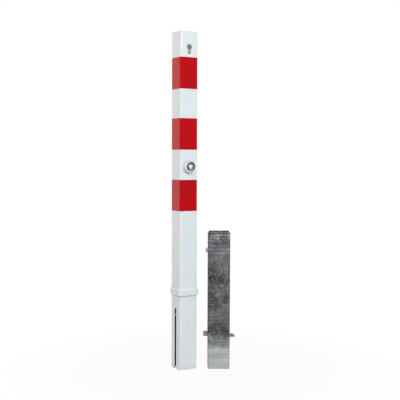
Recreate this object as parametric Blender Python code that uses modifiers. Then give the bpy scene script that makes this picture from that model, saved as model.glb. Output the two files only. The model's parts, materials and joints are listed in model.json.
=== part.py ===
"""A removable barrier post and the ground socket that it drops into, standing side by side.

Metres, +Z up. The lock side of the post faces -Y. The origin is on the ground, in the middle of the box
around both. Two hooks in the post catch the socket's cross pin. Either key swings them off it: a triangle
key through an eccentric, or a cylinder key through a cam finger, each with a pull rod of its own.
"""

import math

import bmesh
import bpy
from mathutils import Vector

# Fits
SEAT_GAP = 0.0003  # between pieces that are welded, screwed or glued together
RUN_GAP = 0.0004  # between pieces that slide or turn on each other

# Post tube, cap and collar
POST_SIDE = 0.070
POST_WALL = 0.003
POST_CORNER = 0.007
HEIGHT_ABOVE_GROUND = 0.945
INSERT_LENGTH = 0.270
CAP_THICKNESS = 0.004
CAP_EDGE = 0.001
COLLAR_HEIGHT = 0.027
COLLAR_SLOPE = 0.008  # height of its sloping top
COLLAR_LIP = 0.001  # width of the slope's upper end
COLLAR_CORNER = 0.012
COLLAR_EDGE = 0.002

# Red bands
FIRST_BAND_BELOW_TOP = 0.0917
BAND_HEIGHT = 0.112
UPPER_BAND_SPACE = 0.1045
LOWER_BAND_SPACE = 0.108
BAND_FILM = 0.0004

# Ground socket, and where it stands
SOCKET_LENGTH = 0.498
SOCKET_WALL = 0.003
SOCKET_CORNER = 0.008
SOCKET_PLAY = 0.002  # between post and socket wall
STANDING_GAP = 0.0474  # between collar and socket
SOCKET_BEARING = math.radians(-22.6)
SOCKET_TURN = math.radians(-28.75)

# Cross pin and anchors of the socket
PIN_RADIUS = 0.005
PIN_BELOW_RIM = 0.0676
PIN_HEAD_RADIUS = 0.0095
PIN_HEAD_LENGTH = 0.008
PIN_HEAD_CHAMFER = 0.003
ANCHOR_THICKNESS = 0.005
ANCHOR_HEIGHT = 0.113
LEFT_ANCHOR_REACH = 0.016
LEFT_ANCHOR_WIDTH = 0.020
RIGHT_ANCHOR_REACH = 0.019
RIGHT_ANCHOR_WIDTH = 0.036
RIGHT_ANCHOR_SLANT = 0.006

# Slots of the insert end
SLOT_PLAY = 0.0005  # each side of the cross pin
SLOT_ABOVE_PIN = 0.0186  # from the pin's middle to the slot's closed end

# Hooks and their hinge
PIVOT_ABOVE_PIN = 0.043
PIVOT_RADIUS = 0.005
HOOK_THICKNESS = 0.006
HOOK_SIDE_GAP = 0.0022  # between hook and tube wall, clear of the tube's round inner corners
HOOK_EYE_RADIUS = 0.012
HOOK_EYE_ARC = (-20, 230)  # degrees, from the shank's back round to its front
HOOK_SHANK_DEPTH = 0.0085
HOOK_PIN_GAP = 0.001
JAW_GAP = 0.0006  # under the cross pin
JAW_REACH = 0.004  # past the pin's middle
JAW_TIP = 0.0035
JAW_NOSE = 0.0074
JAW_HEEL = 0.0013
THROAT_HEIGHT = 0.024  # from the pivot down to the open throat
RELEASE_MARGIN = 0.0007  # between the opened jaw and the pin
HUB_RADIUS = 0.009

# Levers and their pins
ARM_THICKNESS = 0.007
ARM_END_RADIUS = 0.0065
LEVER_EYE_RADIUS = 0.014
DRIVE_PIN_RADIUS = 0.003
DRIVE_PIN_FROM_BACK = 0.006  # from the pin's middle to the back of its rod
CLIP_RADIUS = 0.0055
CLIP_THICKNESS = 0.0012
DOG_RADIUS = 0.003
DOG_OUT = 0.014  # from the pivot
DOG_WALL = 0.003
SPACER_WALL = 0.0027

# Pull rods and guides
ROD_DEPTH = 0.014
ROD_THICKNESS = 0.005
ROD_BACK_GAP = 0.003  # between rod and rear wall
ROD_SIDE_GAP = 0.001  # between the cylinder rod and what turns beside it
ROD_BELOW_PIN = 0.009  # from the drive pin's middle to the rod's end
GUIDE_THICKNESS = 0.004
LOWER_GUIDE_ABOVE_PIVOT = 0.054
MIDDLE_GUIDE_BELOW_SPINDLE = 0.050
UPPER_GUIDE_BELOW_PLUG = 0.090
LIFT_BLOCK_HEIGHT = 0.008

# Hook spring
SPRING_WIRE_RADIUS = 0.0006
SPRING_SIDE_GAP = 0.0002
SPRING_TURNS = 9
SPRING_OUT = 0.0145  # from the pivot

# Triangle lock
SPINDLE_BELOW_TOP = 0.481
SPINDLE_TURN = math.radians(90)
TRIANGLE_SIDE = 0.018
TRIANGLE_ROUND = 0.0012
TRIANGLE_RECESS = 0.003  # behind the rosette's rim
SPINDLE_RADIUS = 0.006
SPINDLE_FLANGE_RADIUS = 0.013
SPINDLE_FLANGE = 0.002
SPINDLE_SQUARE = 0.008
SPINDLE_STUB_RADIUS = 0.003
ROSETTE_HEIGHT = 0.015
ROSETTE_BASE_RADIUS = 0.026
ROSETTE_BASE = 0.003
ROSETTE_RIM_RADIUS = 0.0215
ROSETTE_BORE_RADIUS = 0.018
ROSETTE_EDGE = 0.0012
BUSH_WALL = 0.0026
BUSH_LENGTH = 0.026
BUSH_FLANGE_RADIUS = 0.014
BUSH_FLANGE = 0.003
ECCENTRIC_RADIUS = 0.011
ECCENTRIC_WIDTH = 0.009
NUT_ACROSS_FLATS = 0.010
NUT_HEIGHT = 0.0045

# Lock cylinder
PLUG_BELOW_TOP = 0.0555
CYLINDER_RADIUS = 0.0085
CYLINDER_HEIGHT = 0.033
CYLINDER_LOBE = 0.010
CYLINDER_LENGTH = 0.055
CYLINDER_PROUD = 0.001
CYLINDER_HOLE_PLAY = 0.00125  # round the cylinder, in the tube's wall
PLUG_RADIUS = 0.0064
KEYWAY_WIDTH = 0.0022
KEYWAY_DEPTH = 0.022
KEYWAY_TOP = 0.0036
CAM_FROM_FRONT = 0.0405
CAM_WIDTH = 0.0092
CAM_RING_RADIUS = 0.0082
CAM_REACH = 0.015
CAM_FINGER = 0.008
CAM_SLOT_GAP = 0.0012
LIFTER_RING_GAP = 0.0008
SEAT_PLATE_MARGIN = 0.012
SEAT_PLATE = 0.006
SCREW_RADIUS = 0.0025
SCREW_HEAD_RADIUS = 0.005
SCREW_HEAD = 0.0027
SCREW_SOCKET = 0.003
SCREW_SOCKET_DEPTH = 0.002

# Facets
CORNER_STEPS = 6
ROUND_STEPS = 32
SPRING_STEPS = 10  # to a turn
SHARP_ANGLE = math.radians(35)
BEVEL_ANGLE = math.radians(50)
SAME_POINT = 0.000001

# Worked out from the sizes above
POST_HEIGHT = INSERT_LENGTH + HEIGHT_ABOVE_GROUND
POST_INSIDE = POST_SIDE / 2 - POST_WALL
POST_INSIDE_CORNER = POST_CORNER - POST_WALL
TUBE_TOP = POST_HEIGHT - CAP_THICKNESS - SEAT_GAP
SOCKET_SIDE = POST_SIDE + 2 * (SOCKET_PLAY + SOCKET_WALL)
SOCKET_DISTANCE = SOCKET_SIDE + STANDING_GAP
SOCKET_PLACE = (SOCKET_DISTANCE * math.cos(SOCKET_BEARING), SOCKET_DISTANCE * math.sin(SOCKET_BEARING), 0)
PIN_IN_POST = INSERT_LENGTH - PIN_BELOW_RIM  # height of the cross pin in a post that stands in its socket
PIVOT_Z = PIN_IN_POST + PIVOT_ABOVE_PIN
HOOK_OUT = POST_INSIDE - HOOK_SIDE_GAP
HOOK_IN = HOOK_OUT - HOOK_THICKNESS
JAW_TOP = PIVOT_ABOVE_PIN + PIN_RADIUS + JAW_GAP  # below the pivot
RELEASE_ANGLE = math.asin((JAW_REACH + PIN_RADIUS + RELEASE_MARGIN) / JAW_TOP)
ROD_BACK = POST_INSIDE - ROD_BACK_GAP
ROD_FRONT = ROD_BACK - ROD_DEPTH
LEVER_ARM = ROD_BACK - DRIVE_PIN_FROM_BACK
ARM_SLOPE = math.asin((HUB_RADIUS - ARM_END_RADIUS) / LEVER_ARM)  # of the edges of a tapered arm
ROD_LIFT = LEVER_ARM * math.sin(RELEASE_ANGLE)
ECCENTRICITY = ROD_LIFT / (2 * math.sin(SPINDLE_TURN / 2))
SPINDLE_Z = POST_HEIGHT - SPINDLE_BELOW_TOP
PLUG_Z = POST_HEIGHT - PLUG_BELOW_TOP
TRIANGLE_ROD_IN = ECCENTRIC_RADIUS
TRIANGLE_ROD_OUT = TRIANGLE_ROD_IN + ROD_THICKNESS
HOOK_ARM_OUT = TRIANGLE_ROD_IN - RUN_GAP
HOOK_ARM_IN = HOOK_ARM_OUT - ARM_THICKNESS
CAM_SWEEP = math.hypot(CAM_REACH, CAM_FINGER / 2)
CYLINDER_ROD_IN = -max(ECCENTRIC_RADIUS + ECCENTRICITY, CAM_SWEEP) - ROD_SIDE_GAP
CYLINDER_ROD_OUT = CYLINDER_ROD_IN - ROD_THICKNESS
LEVER_OUT = CYLINDER_ROD_IN + RUN_GAP
LEVER_IN = LEVER_OUT + ARM_THICKNESS
LEVER_BORE = HUB_RADIUS + RUN_GAP
CYLINDER_FRONT = -POST_SIDE / 2 - CYLINDER_PROUD
CAM_SLOT_FRONT = CYLINDER_FRONT + CAM_FROM_FRONT
CAM_FRONT = CAM_SLOT_FRONT + RUN_GAP
CAM_BACK = CAM_FRONT + CAM_WIDTH
CAM_SLOT_BACK = CAM_BACK + RUN_GAP
LOBE_FOOT = CYLINDER_HEIGHT - CYLINDER_RADIUS  # below the plug's axis
SCREW_DROP = (CAM_REACH + CAM_SLOT_GAP + LOBE_FOOT) / 2
LIFTER_EDGE = CAM_RING_RADIUS + LIFTER_RING_GAP  # from the plug's axis to the edge that the finger lifts
BUSH_RADIUS = SPINDLE_RADIUS + RUN_GAP + BUSH_WALL
ECCENTRIC_FRONT = (ROD_FRONT + ROD_BACK - ECCENTRIC_WIDTH) / 2
ECCENTRIC_BACK = ECCENTRIC_FRONT + ECCENTRIC_WIDTH
LOWER_GUIDE_Z = PIVOT_Z + LOWER_GUIDE_ABOVE_PIVOT


def clear_scene():
    """Remove whatever the scene holds at the start."""
    for thing in list(bpy.data.objects):
        bpy.data.objects.remove(thing)


def new_collection(name):
    """A collection linked to the scene."""
    group = bpy.data.collections.new(name)
    bpy.context.scene.collection.children.link(group)
    return group


def new_frame(name, parent=None, place=(0, 0, 0), turn=0.0):
    """An empty that carries pieces, turned about Z."""
    empty = bpy.data.objects.new(name, None)
    empty.parent = parent
    empty.location = place
    empty.rotation_euler.z = turn
    PARTS.objects.link(empty)
    return empty


def add_mesh(name, parent, shape, place=(0, 0, 0), turn=(0, 0, 0)):
    """An object with the bmesh's shape, smooth between its sharp edges."""
    mesh = bpy.data.meshes.new(name)
    shape.to_mesh(mesh)
    shape.free()
    mesh.shade_smooth()
    mesh.set_sharp_from_angle(angle=SHARP_ANGLE)
    piece = bpy.data.objects.new(name, mesh)
    piece.parent = parent
    piece.location = place
    piece.rotation_euler = turn
    PARTS.objects.link(piece)
    return piece


def along(axis, middle):
    """Place and turn that lay a shape's own Z along an axis, at this middle on it."""
    quarter = math.pi / 2
    if axis == "X":
        return (middle, 0, 0), (quarter, 0, quarter)
    if axis == "Y":
        return (0, middle, 0), (quarter, 0, 0)
    return (0, 0, middle), (0, 0, 0)


def prism(name, parent, axis, low, high, *loops):
    """A flat outline with its holes, from low to high on an axis.

    Points are (x, y) for Z, (y, z) for X and (x, z) for Y.
    """
    drawing = bpy.data.curves.new(name, "CURVE")
    drawing.dimensions = "2D"
    drawing.fill_mode = "BOTH"
    drawing.extrude = (high - low) / 2
    for loop in loops:
        spline = drawing.splines.new("POLY")
        spline.points.add(len(loop) - 1)
        for point, (across, up) in zip(spline.points, loop):
            point.co = (across, up, 0, 1)
        spline.use_cyclic_u = True
    holder = bpy.data.objects.new(name, drawing)
    CUTTERS.objects.link(holder)
    flat = bpy.data.meshes.new_from_object(holder.evaluated_get(bpy.context.evaluated_depsgraph_get()))
    bpy.data.objects.remove(holder)
    shape = bmesh.new()
    shape.from_mesh(flat)
    bpy.data.meshes.remove(flat)
    bmesh.ops.remove_doubles(shape, verts=shape.verts, dist=SAME_POINT)
    bmesh.ops.recalc_face_normals(shape, faces=shape.faces)
    place, turn = along(axis, (low + high) / 2)
    return add_mesh(name, parent, shape, place, turn)


def block(name, parent, low, high):
    """A box between two corners."""
    shape = bmesh.new()
    bmesh.ops.create_cube(shape, size=1)
    bmesh.ops.scale(shape, vec=Vector(high) - Vector(low), verts=shape.verts)
    return add_mesh(name, parent, shape, (Vector(low) + Vector(high)) / 2)


def rod(name, parent, axis, radius, low, high, middle=(0, 0, 0)):
    """A round bar from low to high on an axis through a middle point."""
    shape = bmesh.new()
    bmesh.ops.create_cone(
        shape, cap_ends=True, segments=ROUND_STEPS, radius1=radius, radius2=radius, depth=high - low
    )
    place, turn = along(axis, (low + high) / 2)
    return add_mesh(name, parent, shape, Vector(place) + Vector(middle), turn)


def turned(name, parent, axis, profile, ring=False):
    """A (radius, height) profile, outer side first and downwards, turned about an axis.

    Heights run along +X for X, and towards the front, -Y, for Y. A ring's profile closes on itself.
    """
    shape = bmesh.new()
    points = [shape.verts.new((radius, 0, height)) for radius, height in profile]
    for first, second in zip(points, points[1:]):
        shape.edges.new((first, second))
    if ring:
        shape.edges.new((points[-1], points[0]))
    place, turn = along(axis, 0)
    piece = add_mesh(name, parent, shape, place, turn)
    screw = piece.modifiers.new("turn", "SCREW")
    screw.steps = ROUND_STEPS
    screw.render_steps = ROUND_STEPS
    screw.use_merge_vertices = True
    screw.merge_threshold = SAME_POINT
    return piece


def as_helper(piece):
    """Take a piece out of the parts, to cut or join with."""
    PARTS.objects.unlink(piece)
    CUTTERS.objects.link(piece)
    piece.hide_render = True
    piece.display_type = "WIRE"


def combine(target, operation, helpers):
    """Add a Boolean to the target for each helper."""
    for helper in helpers:
        as_helper(helper)
        step = target.modifiers.new(helper.name, "BOOLEAN")
        step.operation = operation
        step.object = helper


def cut(target, *helpers):
    """Cut the helpers out of the target."""
    combine(target, "DIFFERENCE", helpers)


def fuse(target, *helpers):
    """Join the helpers to the target."""
    combine(target, "UNION", helpers)


def bevel(piece, width, steps):
    """Round a piece's sharp edges."""
    edge = piece.modifiers.new("edge", "BEVEL")
    edge.width = width
    edge.segments = steps
    edge.limit_method = "ANGLE"
    edge.angle_limit = BEVEL_ANGLE


def slope_top(piece, depth, share):
    """Draw in the top of an upright piece, from a depth below it, to a share of its width."""
    shape = bmesh.new()
    shape.from_mesh(piece.data)
    top = max(point.co.z for point in shape.verts)
    everything = [*shape.verts, *shape.edges, *shape.faces]
    bmesh.ops.bisect_plane(shape, geom=everything, plane_co=(0, 0, top - depth), plane_no=(0, 0, 1))
    crest = [point for point in shape.verts if top - point.co.z < SAME_POINT]
    bmesh.ops.scale(shape, vec=(share, share, 1), verts=crest)
    shape.to_mesh(piece.data)
    shape.free()


def arc(middle, radius, start, end, steps):
    """Points on an arc, angles in degrees."""
    angles = [math.radians(start + (end - start) * step / steps) for step in range(steps + 1)]
    return [(middle[0] + radius * math.cos(a), middle[1] + radius * math.sin(a)) for a in angles]


def circle(radius, middle=(0, 0)):
    """Points round a circle."""
    return arc(middle, radius, 0, 360, ROUND_STEPS)[:-1]


def rounded(corners, radius):
    """An outline round corner middles, listed anticlockwise, each with the same radius."""
    points = []
    for index, middle in enumerate(corners):
        before = Vector(corners[index - 1])
        after = Vector(corners[(index + 1) % len(corners)])
        inward = Vector(middle) - before
        onward = after - Vector(middle)
        start = math.degrees(math.atan2(inward.y, inward.x)) - 90
        bend = math.degrees(-inward.angle_signed(onward))
        points += arc(middle, radius, start, start + bend, CORNER_STEPS)
    return points


def rounded_square(side, radius):
    """A square outline about the middle."""
    reach = side / 2 - radius
    return rounded([(-reach, -reach), (reach, -reach), (reach, reach), (-reach, reach)], radius)


def rectangle(low, high):
    """A plain rectangle between two corners."""
    return [low, (high[0], low[1]), high, (low[0], high[1])]


def polygon(sides, across_flats, first=0.0):
    """A regular polygon by its distance from flat to flat, its first corner at an angle in degrees."""
    reach = across_flats / 2 / math.cos(math.pi / sides)
    return arc((0, 0), reach, first, first + 360, sides)[:-1]


def belt(circles):
    """The outline of a belt round circles, each (middle, radius)."""
    points = sorted({point for middle, radius in circles for point in circle(radius, middle)})

    def half(run):
        kept = []
        for point in run:
            while len(kept) > 1 and turn_of(kept[-2], kept[-1], point) <= 0:
                kept.pop()
            kept.append(point)
        return kept[:-1]

    return half(points) + half(points[::-1])


def turn_of(first, second, third):
    """Above 0 where three points turn left."""
    ahead = (second[0] - first[0], second[1] - first[1])
    beyond = (third[0] - first[0], third[1] - first[1])
    return ahead[0] * beyond[1] - ahead[1] * beyond[0]


def finish(piece, look):
    """Give a piece a material of its own: colour, roughness and metal."""
    colour, roughness, metal = look
    material = bpy.data.materials.new(piece.name)
    material.use_nodes = True
    shader = material.node_tree.nodes["Principled BSDF"]
    shader.inputs["Base Color"].default_value = (*colour, 1)
    shader.inputs["Roughness"].default_value = roughness
    shader.inputs["Metallic"].default_value = metal
    piece.data.materials.append(material)


# Looks: colour, roughness, metal
WHITE_COAT = ((0.76, 0.79, 0.80), 0.35, 0.0)
RED_FILM = ((0.45, 0.010, 0.012), 0.30, 0.0)
GALVANISED = ((0.17, 0.175, 0.18), 0.50, 0.9)
NICKEL = ((0.42, 0.38, 0.36), 0.35, 1.0)
ZINC = ((0.62, 0.63, 0.64), 0.38, 1.0)
BRIGHT_STEEL = ((0.70, 0.71, 0.72), 0.28, 1.0)
SPRING_STEEL = ((0.20, 0.20, 0.21), 0.40, 1.0)


def cylinder_outline(play=0.0):
    """The standard profile of a lock cylinder: a circle over a narrow lobe."""
    radius = CYLINDER_RADIUS + play
    half = CYLINDER_LOBE / 2 + play
    neck = math.degrees(math.acos(half / radius))
    head = arc((0, PLUG_Z), radius, -neck, 180 + neck, ROUND_STEPS)
    foot = arc((0, PLUG_Z - LOBE_FOOT + CYLINDER_LOBE / 2), half, 180, 360, ROUND_STEPS // 2)
    return head + foot


def slot_outline():
    """The slot of the insert end, open at the bottom, with a round top."""
    half = PIN_RADIUS + SLOT_PLAY
    top = PIN_IN_POST + SLOT_ABOVE_PIN - half
    return [(-half, -POST_SIDE), (half, -POST_SIDE)] + arc((0, top), half, 0, 180, ROUND_STEPS // 2)


def screw_profile(play=0.0):
    """The countersunk screw that holds the cylinder, as (radius, distance from the post's axis)."""
    head_top = POST_SIDE / 2 - SEAT_GAP
    cone_foot = head_top - SCREW_HEAD
    tip = -CYLINDER_LOBE / 2 + SEAT_GAP
    top = head_top + (POST_WALL if play else 0)
    return [
        (0, top),
        (SCREW_HEAD_RADIUS + play, top),
        (SCREW_HEAD_RADIUS + play, head_top),
        (SCREW_RADIUS + play, cone_foot),
        (SCREW_RADIUS + play, tip - play),
        (0, tip - play),
    ]


def make_post():
    """The tube with its slots and holes, its cap and its collar."""
    tube = prism(
        "post_tube",
        POST,
        "Z",
        0,
        TUBE_TOP,
        rounded_square(POST_SIDE, POST_CORNER),
        rounded_square(2 * POST_INSIDE, POST_INSIDE_CORNER),
    )
    screw_hole = turned("screw_hole", CYLINDER_SCREW, "X", screw_profile(SEAT_GAP))
    cut(
        tube,
        prism("slots", POST, "X", -POST_SIDE, POST_SIDE, slot_outline()),
        rod("pivot_holes", HINGE, "X", PIVOT_RADIUS + SEAT_GAP, -POST_SIDE, POST_SIDE),
        prism("cylinder_hole", POST, "Y", -POST_SIDE, 0, cylinder_outline(CYLINDER_HOLE_PLAY)),
        rod("bush_hole", SPINDLE, "Y", BUSH_RADIUS + SEAT_GAP, -POST_SIDE, 0),
        screw_hole,
    )
    outline = rounded_square(POST_SIDE, POST_CORNER)
    cap = prism("top_cap", POST, "Z", POST_HEIGHT - CAP_THICKNESS, POST_HEIGHT, outline)
    bevel(cap, CAP_EDGE, 2)
    collar_top = INSERT_LENGTH + COLLAR_HEIGHT
    collar = prism(
        "collar", POST, "Z", INSERT_LENGTH, collar_top, rounded_square(SOCKET_SIDE, COLLAR_CORNER)
    )
    slope_top(collar, COLLAR_SLOPE, (POST_SIDE + 2 * COLLAR_LIP) / SOCKET_SIDE)
    bevel(collar, COLLAR_EDGE, 3)
    collar_bore = rounded_square(POST_SIDE + 2 * SEAT_GAP, POST_CORNER + SEAT_GAP)
    cut(collar, prism("collar_bore", POST, "Z", 0, 2 * collar_top, collar_bore))
    for piece in (tube, cap, collar):
        finish(piece, WHITE_COAT)


def make_bands():
    """Three wraps of red film."""
    inside = POST_SIDE + 2 * SEAT_GAP
    outside = inside + 2 * BAND_FILM
    top = POST_HEIGHT - FIRST_BAND_BELOW_TOP
    spaces = {"upper": UPPER_BAND_SPACE, "middle": LOWER_BAND_SPACE, "lower": 0}
    for level, space in spaces.items():
        band = prism(
            "red_band_" + level,
            POST,
            "Z",
            top - BAND_HEIGHT,
            top,
            rounded_square(outside, POST_CORNER + SEAT_GAP + BAND_FILM),
            rounded_square(inside, POST_CORNER + SEAT_GAP),
        )
        finish(band, RED_FILM)
        top -= BAND_HEIGHT + space


def make_socket():
    """The ground socket, its cross pin and its anchors."""
    half = SOCKET_SIDE / 2
    tube = prism(
        "socket_tube",
        SOCKET,
        "Z",
        0,
        SOCKET_LENGTH,
        rounded_square(SOCKET_SIDE, SOCKET_CORNER),
        rounded_square(SOCKET_SIDE - 2 * SOCKET_WALL, SOCKET_CORNER - SOCKET_WALL),
    )
    cut(tube, rod("pin_holes", CROSS_PIN, "X", PIN_RADIUS + SEAT_GAP, -SOCKET_SIDE, SOCKET_SIDE))
    head_end = -half - SEAT_GAP
    pin = turned(
        "cross_pin",
        CROSS_PIN,
        "X",
        [
            (0, half - SEAT_GAP),
            (PIN_RADIUS, half - SEAT_GAP),
            (PIN_RADIUS, head_end),
            (PIN_HEAD_RADIUS, head_end),
            (PIN_HEAD_RADIUS, head_end - PIN_HEAD_LENGTH + PIN_HEAD_CHAMFER),
            (PIN_HEAD_RADIUS - PIN_HEAD_CHAMFER, head_end - PIN_HEAD_LENGTH),
            (0, head_end - PIN_HEAD_LENGTH),
        ],
    )
    left = block(
        "anchor_left",
        SOCKET,
        (-half - SEAT_GAP - LEFT_ANCHOR_REACH, -ANCHOR_THICKNESS / 2, ANCHOR_HEIGHT),
        (-half - SEAT_GAP, ANCHOR_THICKNESS / 2, ANCHOR_HEIGHT + LEFT_ANCHOR_WIDTH),
    )
    foot = half + SEAT_GAP
    tip = foot + RIGHT_ANCHOR_REACH
    side = RIGHT_ANCHOR_WIDTH / 2
    right = prism(
        "anchor_right",
        SOCKET,
        "Z",
        ANCHOR_HEIGHT,
        ANCHOR_HEIGHT + ANCHOR_THICKNESS,
        [(foot, -side), (tip, -side), (tip - RIGHT_ANCHOR_SLANT, side), (foot, side)],
    )
    for piece in (tube, pin, left, right):
        finish(piece, GALVANISED)


def make_cylinder():
    """The lock cylinder, its seat plate and its screw."""
    body = prism(
        "lock_cylinder", POST, "Y", CYLINDER_FRONT, CYLINDER_FRONT + CYLINDER_LENGTH, cylinder_outline()
    )
    cut(
        body,
        rod("plug_bore", PLUG, "Y", PLUG_RADIUS + RUN_GAP, -POST_SIDE, CAM_SLOT_BACK - RUN_GAP),
        block(
            "cam_slot",
            PLUG,
            (-POST_SIDE, CAM_SLOT_FRONT, -CAM_REACH - CAM_SLOT_GAP),
            (POST_SIDE, CAM_SLOT_BACK, POST_SIDE),
        ),
        rod("lobe_thread", CYLINDER_SCREW, "X", SCREW_RADIUS + SEAT_GAP, -POST_SIDE, POST_SIDE),
    )
    finish(body, NICKEL)
    wide = CYLINDER_RADIUS + SEAT_PLATE_MARGIN
    plate = prism(
        "cylinder_seat",
        POST,
        "Y",
        -POST_INSIDE + SEAT_GAP,
        -POST_INSIDE + SEAT_GAP + SEAT_PLATE,
        rectangle(
            (-wide, PLUG_Z - LOBE_FOOT - SEAT_PLATE_MARGIN),
            (wide, PLUG_Z + CYLINDER_RADIUS + SEAT_PLATE_MARGIN),
        ),
        cylinder_outline(SEAT_GAP),
    )
    finish(plate, WHITE_COAT)
    screw = turned("cylinder_screw", CYLINDER_SCREW, "X", screw_profile())
    head_top = POST_SIDE / 2
    hexagon = polygon(6, SCREW_SOCKET)
    cut(
        screw,
        prism("screw_socket", CYLINDER_SCREW, "X", head_top - SCREW_SOCKET_DEPTH, POST_SIDE, hexagon),
    )
    finish(screw, ZINC)


def cam_rest_angle():
    """How far the cam finger points off straight down at rest, so that it ends level after the lift."""
    half = CAM_FINGER / 2
    drop = half - ROD_LIFT
    return math.atan2(drop, LIFTER_EDGE) + math.acos(half / math.hypot(LIFTER_EDGE, drop))


def make_plug():
    """The turning core of the cylinder and its cam finger."""
    plug = rod("cylinder_plug", PLUG, "Y", PLUG_RADIUS, CYLINDER_FRONT, CAM_BACK)
    cut(
        plug,
        block(
            "keyway",
            PLUG,
            (-KEYWAY_WIDTH / 2, -POST_SIDE, -POST_SIDE),
            (KEYWAY_WIDTH / 2, CYLINDER_FRONT + KEYWAY_DEPTH, KEYWAY_TOP),
        ),
    )
    finish(plug, NICKEL)
    heading = 270 - math.degrees(cam_rest_angle())
    half = CAM_FINGER / 2
    root = math.degrees(math.asin(half / CAM_RING_RADIUS))
    tip = math.degrees(math.atan2(half, CAM_REACH))
    ring = arc((0, 0), CAM_RING_RADIUS, heading + root, heading + 360 - root, ROUND_STEPS)
    finger = arc((0, 0), CAM_SWEEP, heading - tip, heading + tip, 1)
    cam = prism(
        "cylinder_cam", PLUG, "Y", CAM_FRONT, CAM_BACK, ring + finger, circle(PLUG_RADIUS + SEAT_GAP)
    )
    finish(cam, ZINC)


def rod_outline(top):
    """A pull rod from the side, from under its drive pin to the top."""
    low = PIVOT_Z - ROD_BELOW_PIN
    return rectangle((ROD_FRONT, low), (ROD_BACK, top))


def rod_eye():
    """The long eye that leaves the drive pin free while the other key lifts the hooks."""
    least = LEVER_ARM * math.cos(2 * RELEASE_ANGLE) - RUN_GAP
    most = LEVER_ARM + RUN_GAP
    high = ROD_LIFT + RUN_GAP
    return rounded(rectangle((least, PIVOT_Z - SEAT_GAP), (most, PIVOT_Z + high)), DRIVE_PIN_RADIUS)


def make_rods():
    """Both pull rods with the blocks that are lifted."""
    lug_foot = SPINDLE_Z - ECCENTRICITY * math.sin(SPINDLE_TURN / 2) + ECCENTRIC_RADIUS + SEAT_GAP
    lug_top = lug_foot + LIFT_BLOCK_HEIGHT
    outline = rod_outline(lug_top)
    triangle_rod = prism(
        "triangle_rod", TRIANGLE_ROD, "X", TRIANGLE_ROD_IN, TRIANGLE_ROD_OUT, outline, rod_eye()
    )
    lug = block(
        "rod_lug",
        TRIANGLE_ROD,
        (-ECCENTRIC_RADIUS, ECCENTRIC_FRONT, lug_foot),
        (TRIANGLE_ROD_IN - SEAT_GAP, ECCENTRIC_BACK, lug_top),
    )
    lifter_foot = PLUG_Z + CAM_FINGER / 2 - ROD_LIFT + SEAT_GAP
    lifter_top = lifter_foot + LIFT_BLOCK_HEIGHT
    outline = rod_outline(lifter_top)
    cylinder_rod = prism(
        "cylinder_rod", CYLINDER_ROD, "X", CYLINDER_ROD_OUT, CYLINDER_ROD_IN, outline, rod_eye()
    )
    lifter = block(
        "cylinder_lifter",
        CYLINDER_ROD,
        (CYLINDER_ROD_IN + SEAT_GAP, CAM_FRONT, lifter_foot),
        (-LIFTER_EDGE, ROD_BACK, lifter_top),
    )
    for piece in (triangle_rod, lug, cylinder_rod, lifter):
        finish(piece, ZINC)


def make_guides():
    """Plates across the tube that guide the rods."""
    plate = rounded_square(2 * (POST_INSIDE - SEAT_GAP), POST_INSIDE_CORNER)
    triangle_hole = rectangle(
        (TRIANGLE_ROD_IN - RUN_GAP, ROD_FRONT - RUN_GAP), (TRIANGLE_ROD_OUT + RUN_GAP, ROD_BACK + RUN_GAP)
    )
    cylinder_hole = rectangle(
        (CYLINDER_ROD_OUT - RUN_GAP, ROD_FRONT - RUN_GAP), (CYLINDER_ROD_IN + RUN_GAP, ROD_BACK + RUN_GAP)
    )
    levels = {
        "lower": (LOWER_GUIDE_Z, triangle_hole, cylinder_hole),
        "middle": (SPINDLE_Z - MIDDLE_GUIDE_BELOW_SPINDLE, triangle_hole, cylinder_hole),
        "upper": (PLUG_Z - UPPER_GUIDE_BELOW_PLUG, cylinder_hole),
    }
    for level, (height, *holes) in levels.items():
        guide = prism("guide_" + level, POST, "Z", height, height + GUIDE_THICKNESS, plate, *holes)
        finish(guide, ZINC)


def hook_outline():
    """A hook from the side, about its pivot: eye, shank behind the cross pin, and jaw under it."""
    shank_front = PIN_RADIUS + HOOK_PIN_GAP
    shank_back = shank_front + HOOK_SHANK_DEPTH
    jaw = [
        (shank_front, -THROAT_HEIGHT),
        (shank_front, -JAW_TOP),
        (-JAW_REACH, -JAW_TOP),
        (-JAW_REACH, -JAW_TOP - JAW_TIP),
        (shank_front + HOOK_PIN_GAP, -JAW_TOP - JAW_NOSE),
        (shank_back - JAW_HEEL, -JAW_TOP),
        (shank_back, -PIVOT_ABOVE_PIN),
    ]
    return arc((0, 0), HOOK_EYE_RADIUS, *HOOK_EYE_ARC, ROUND_STEPS) + jaw


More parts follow.
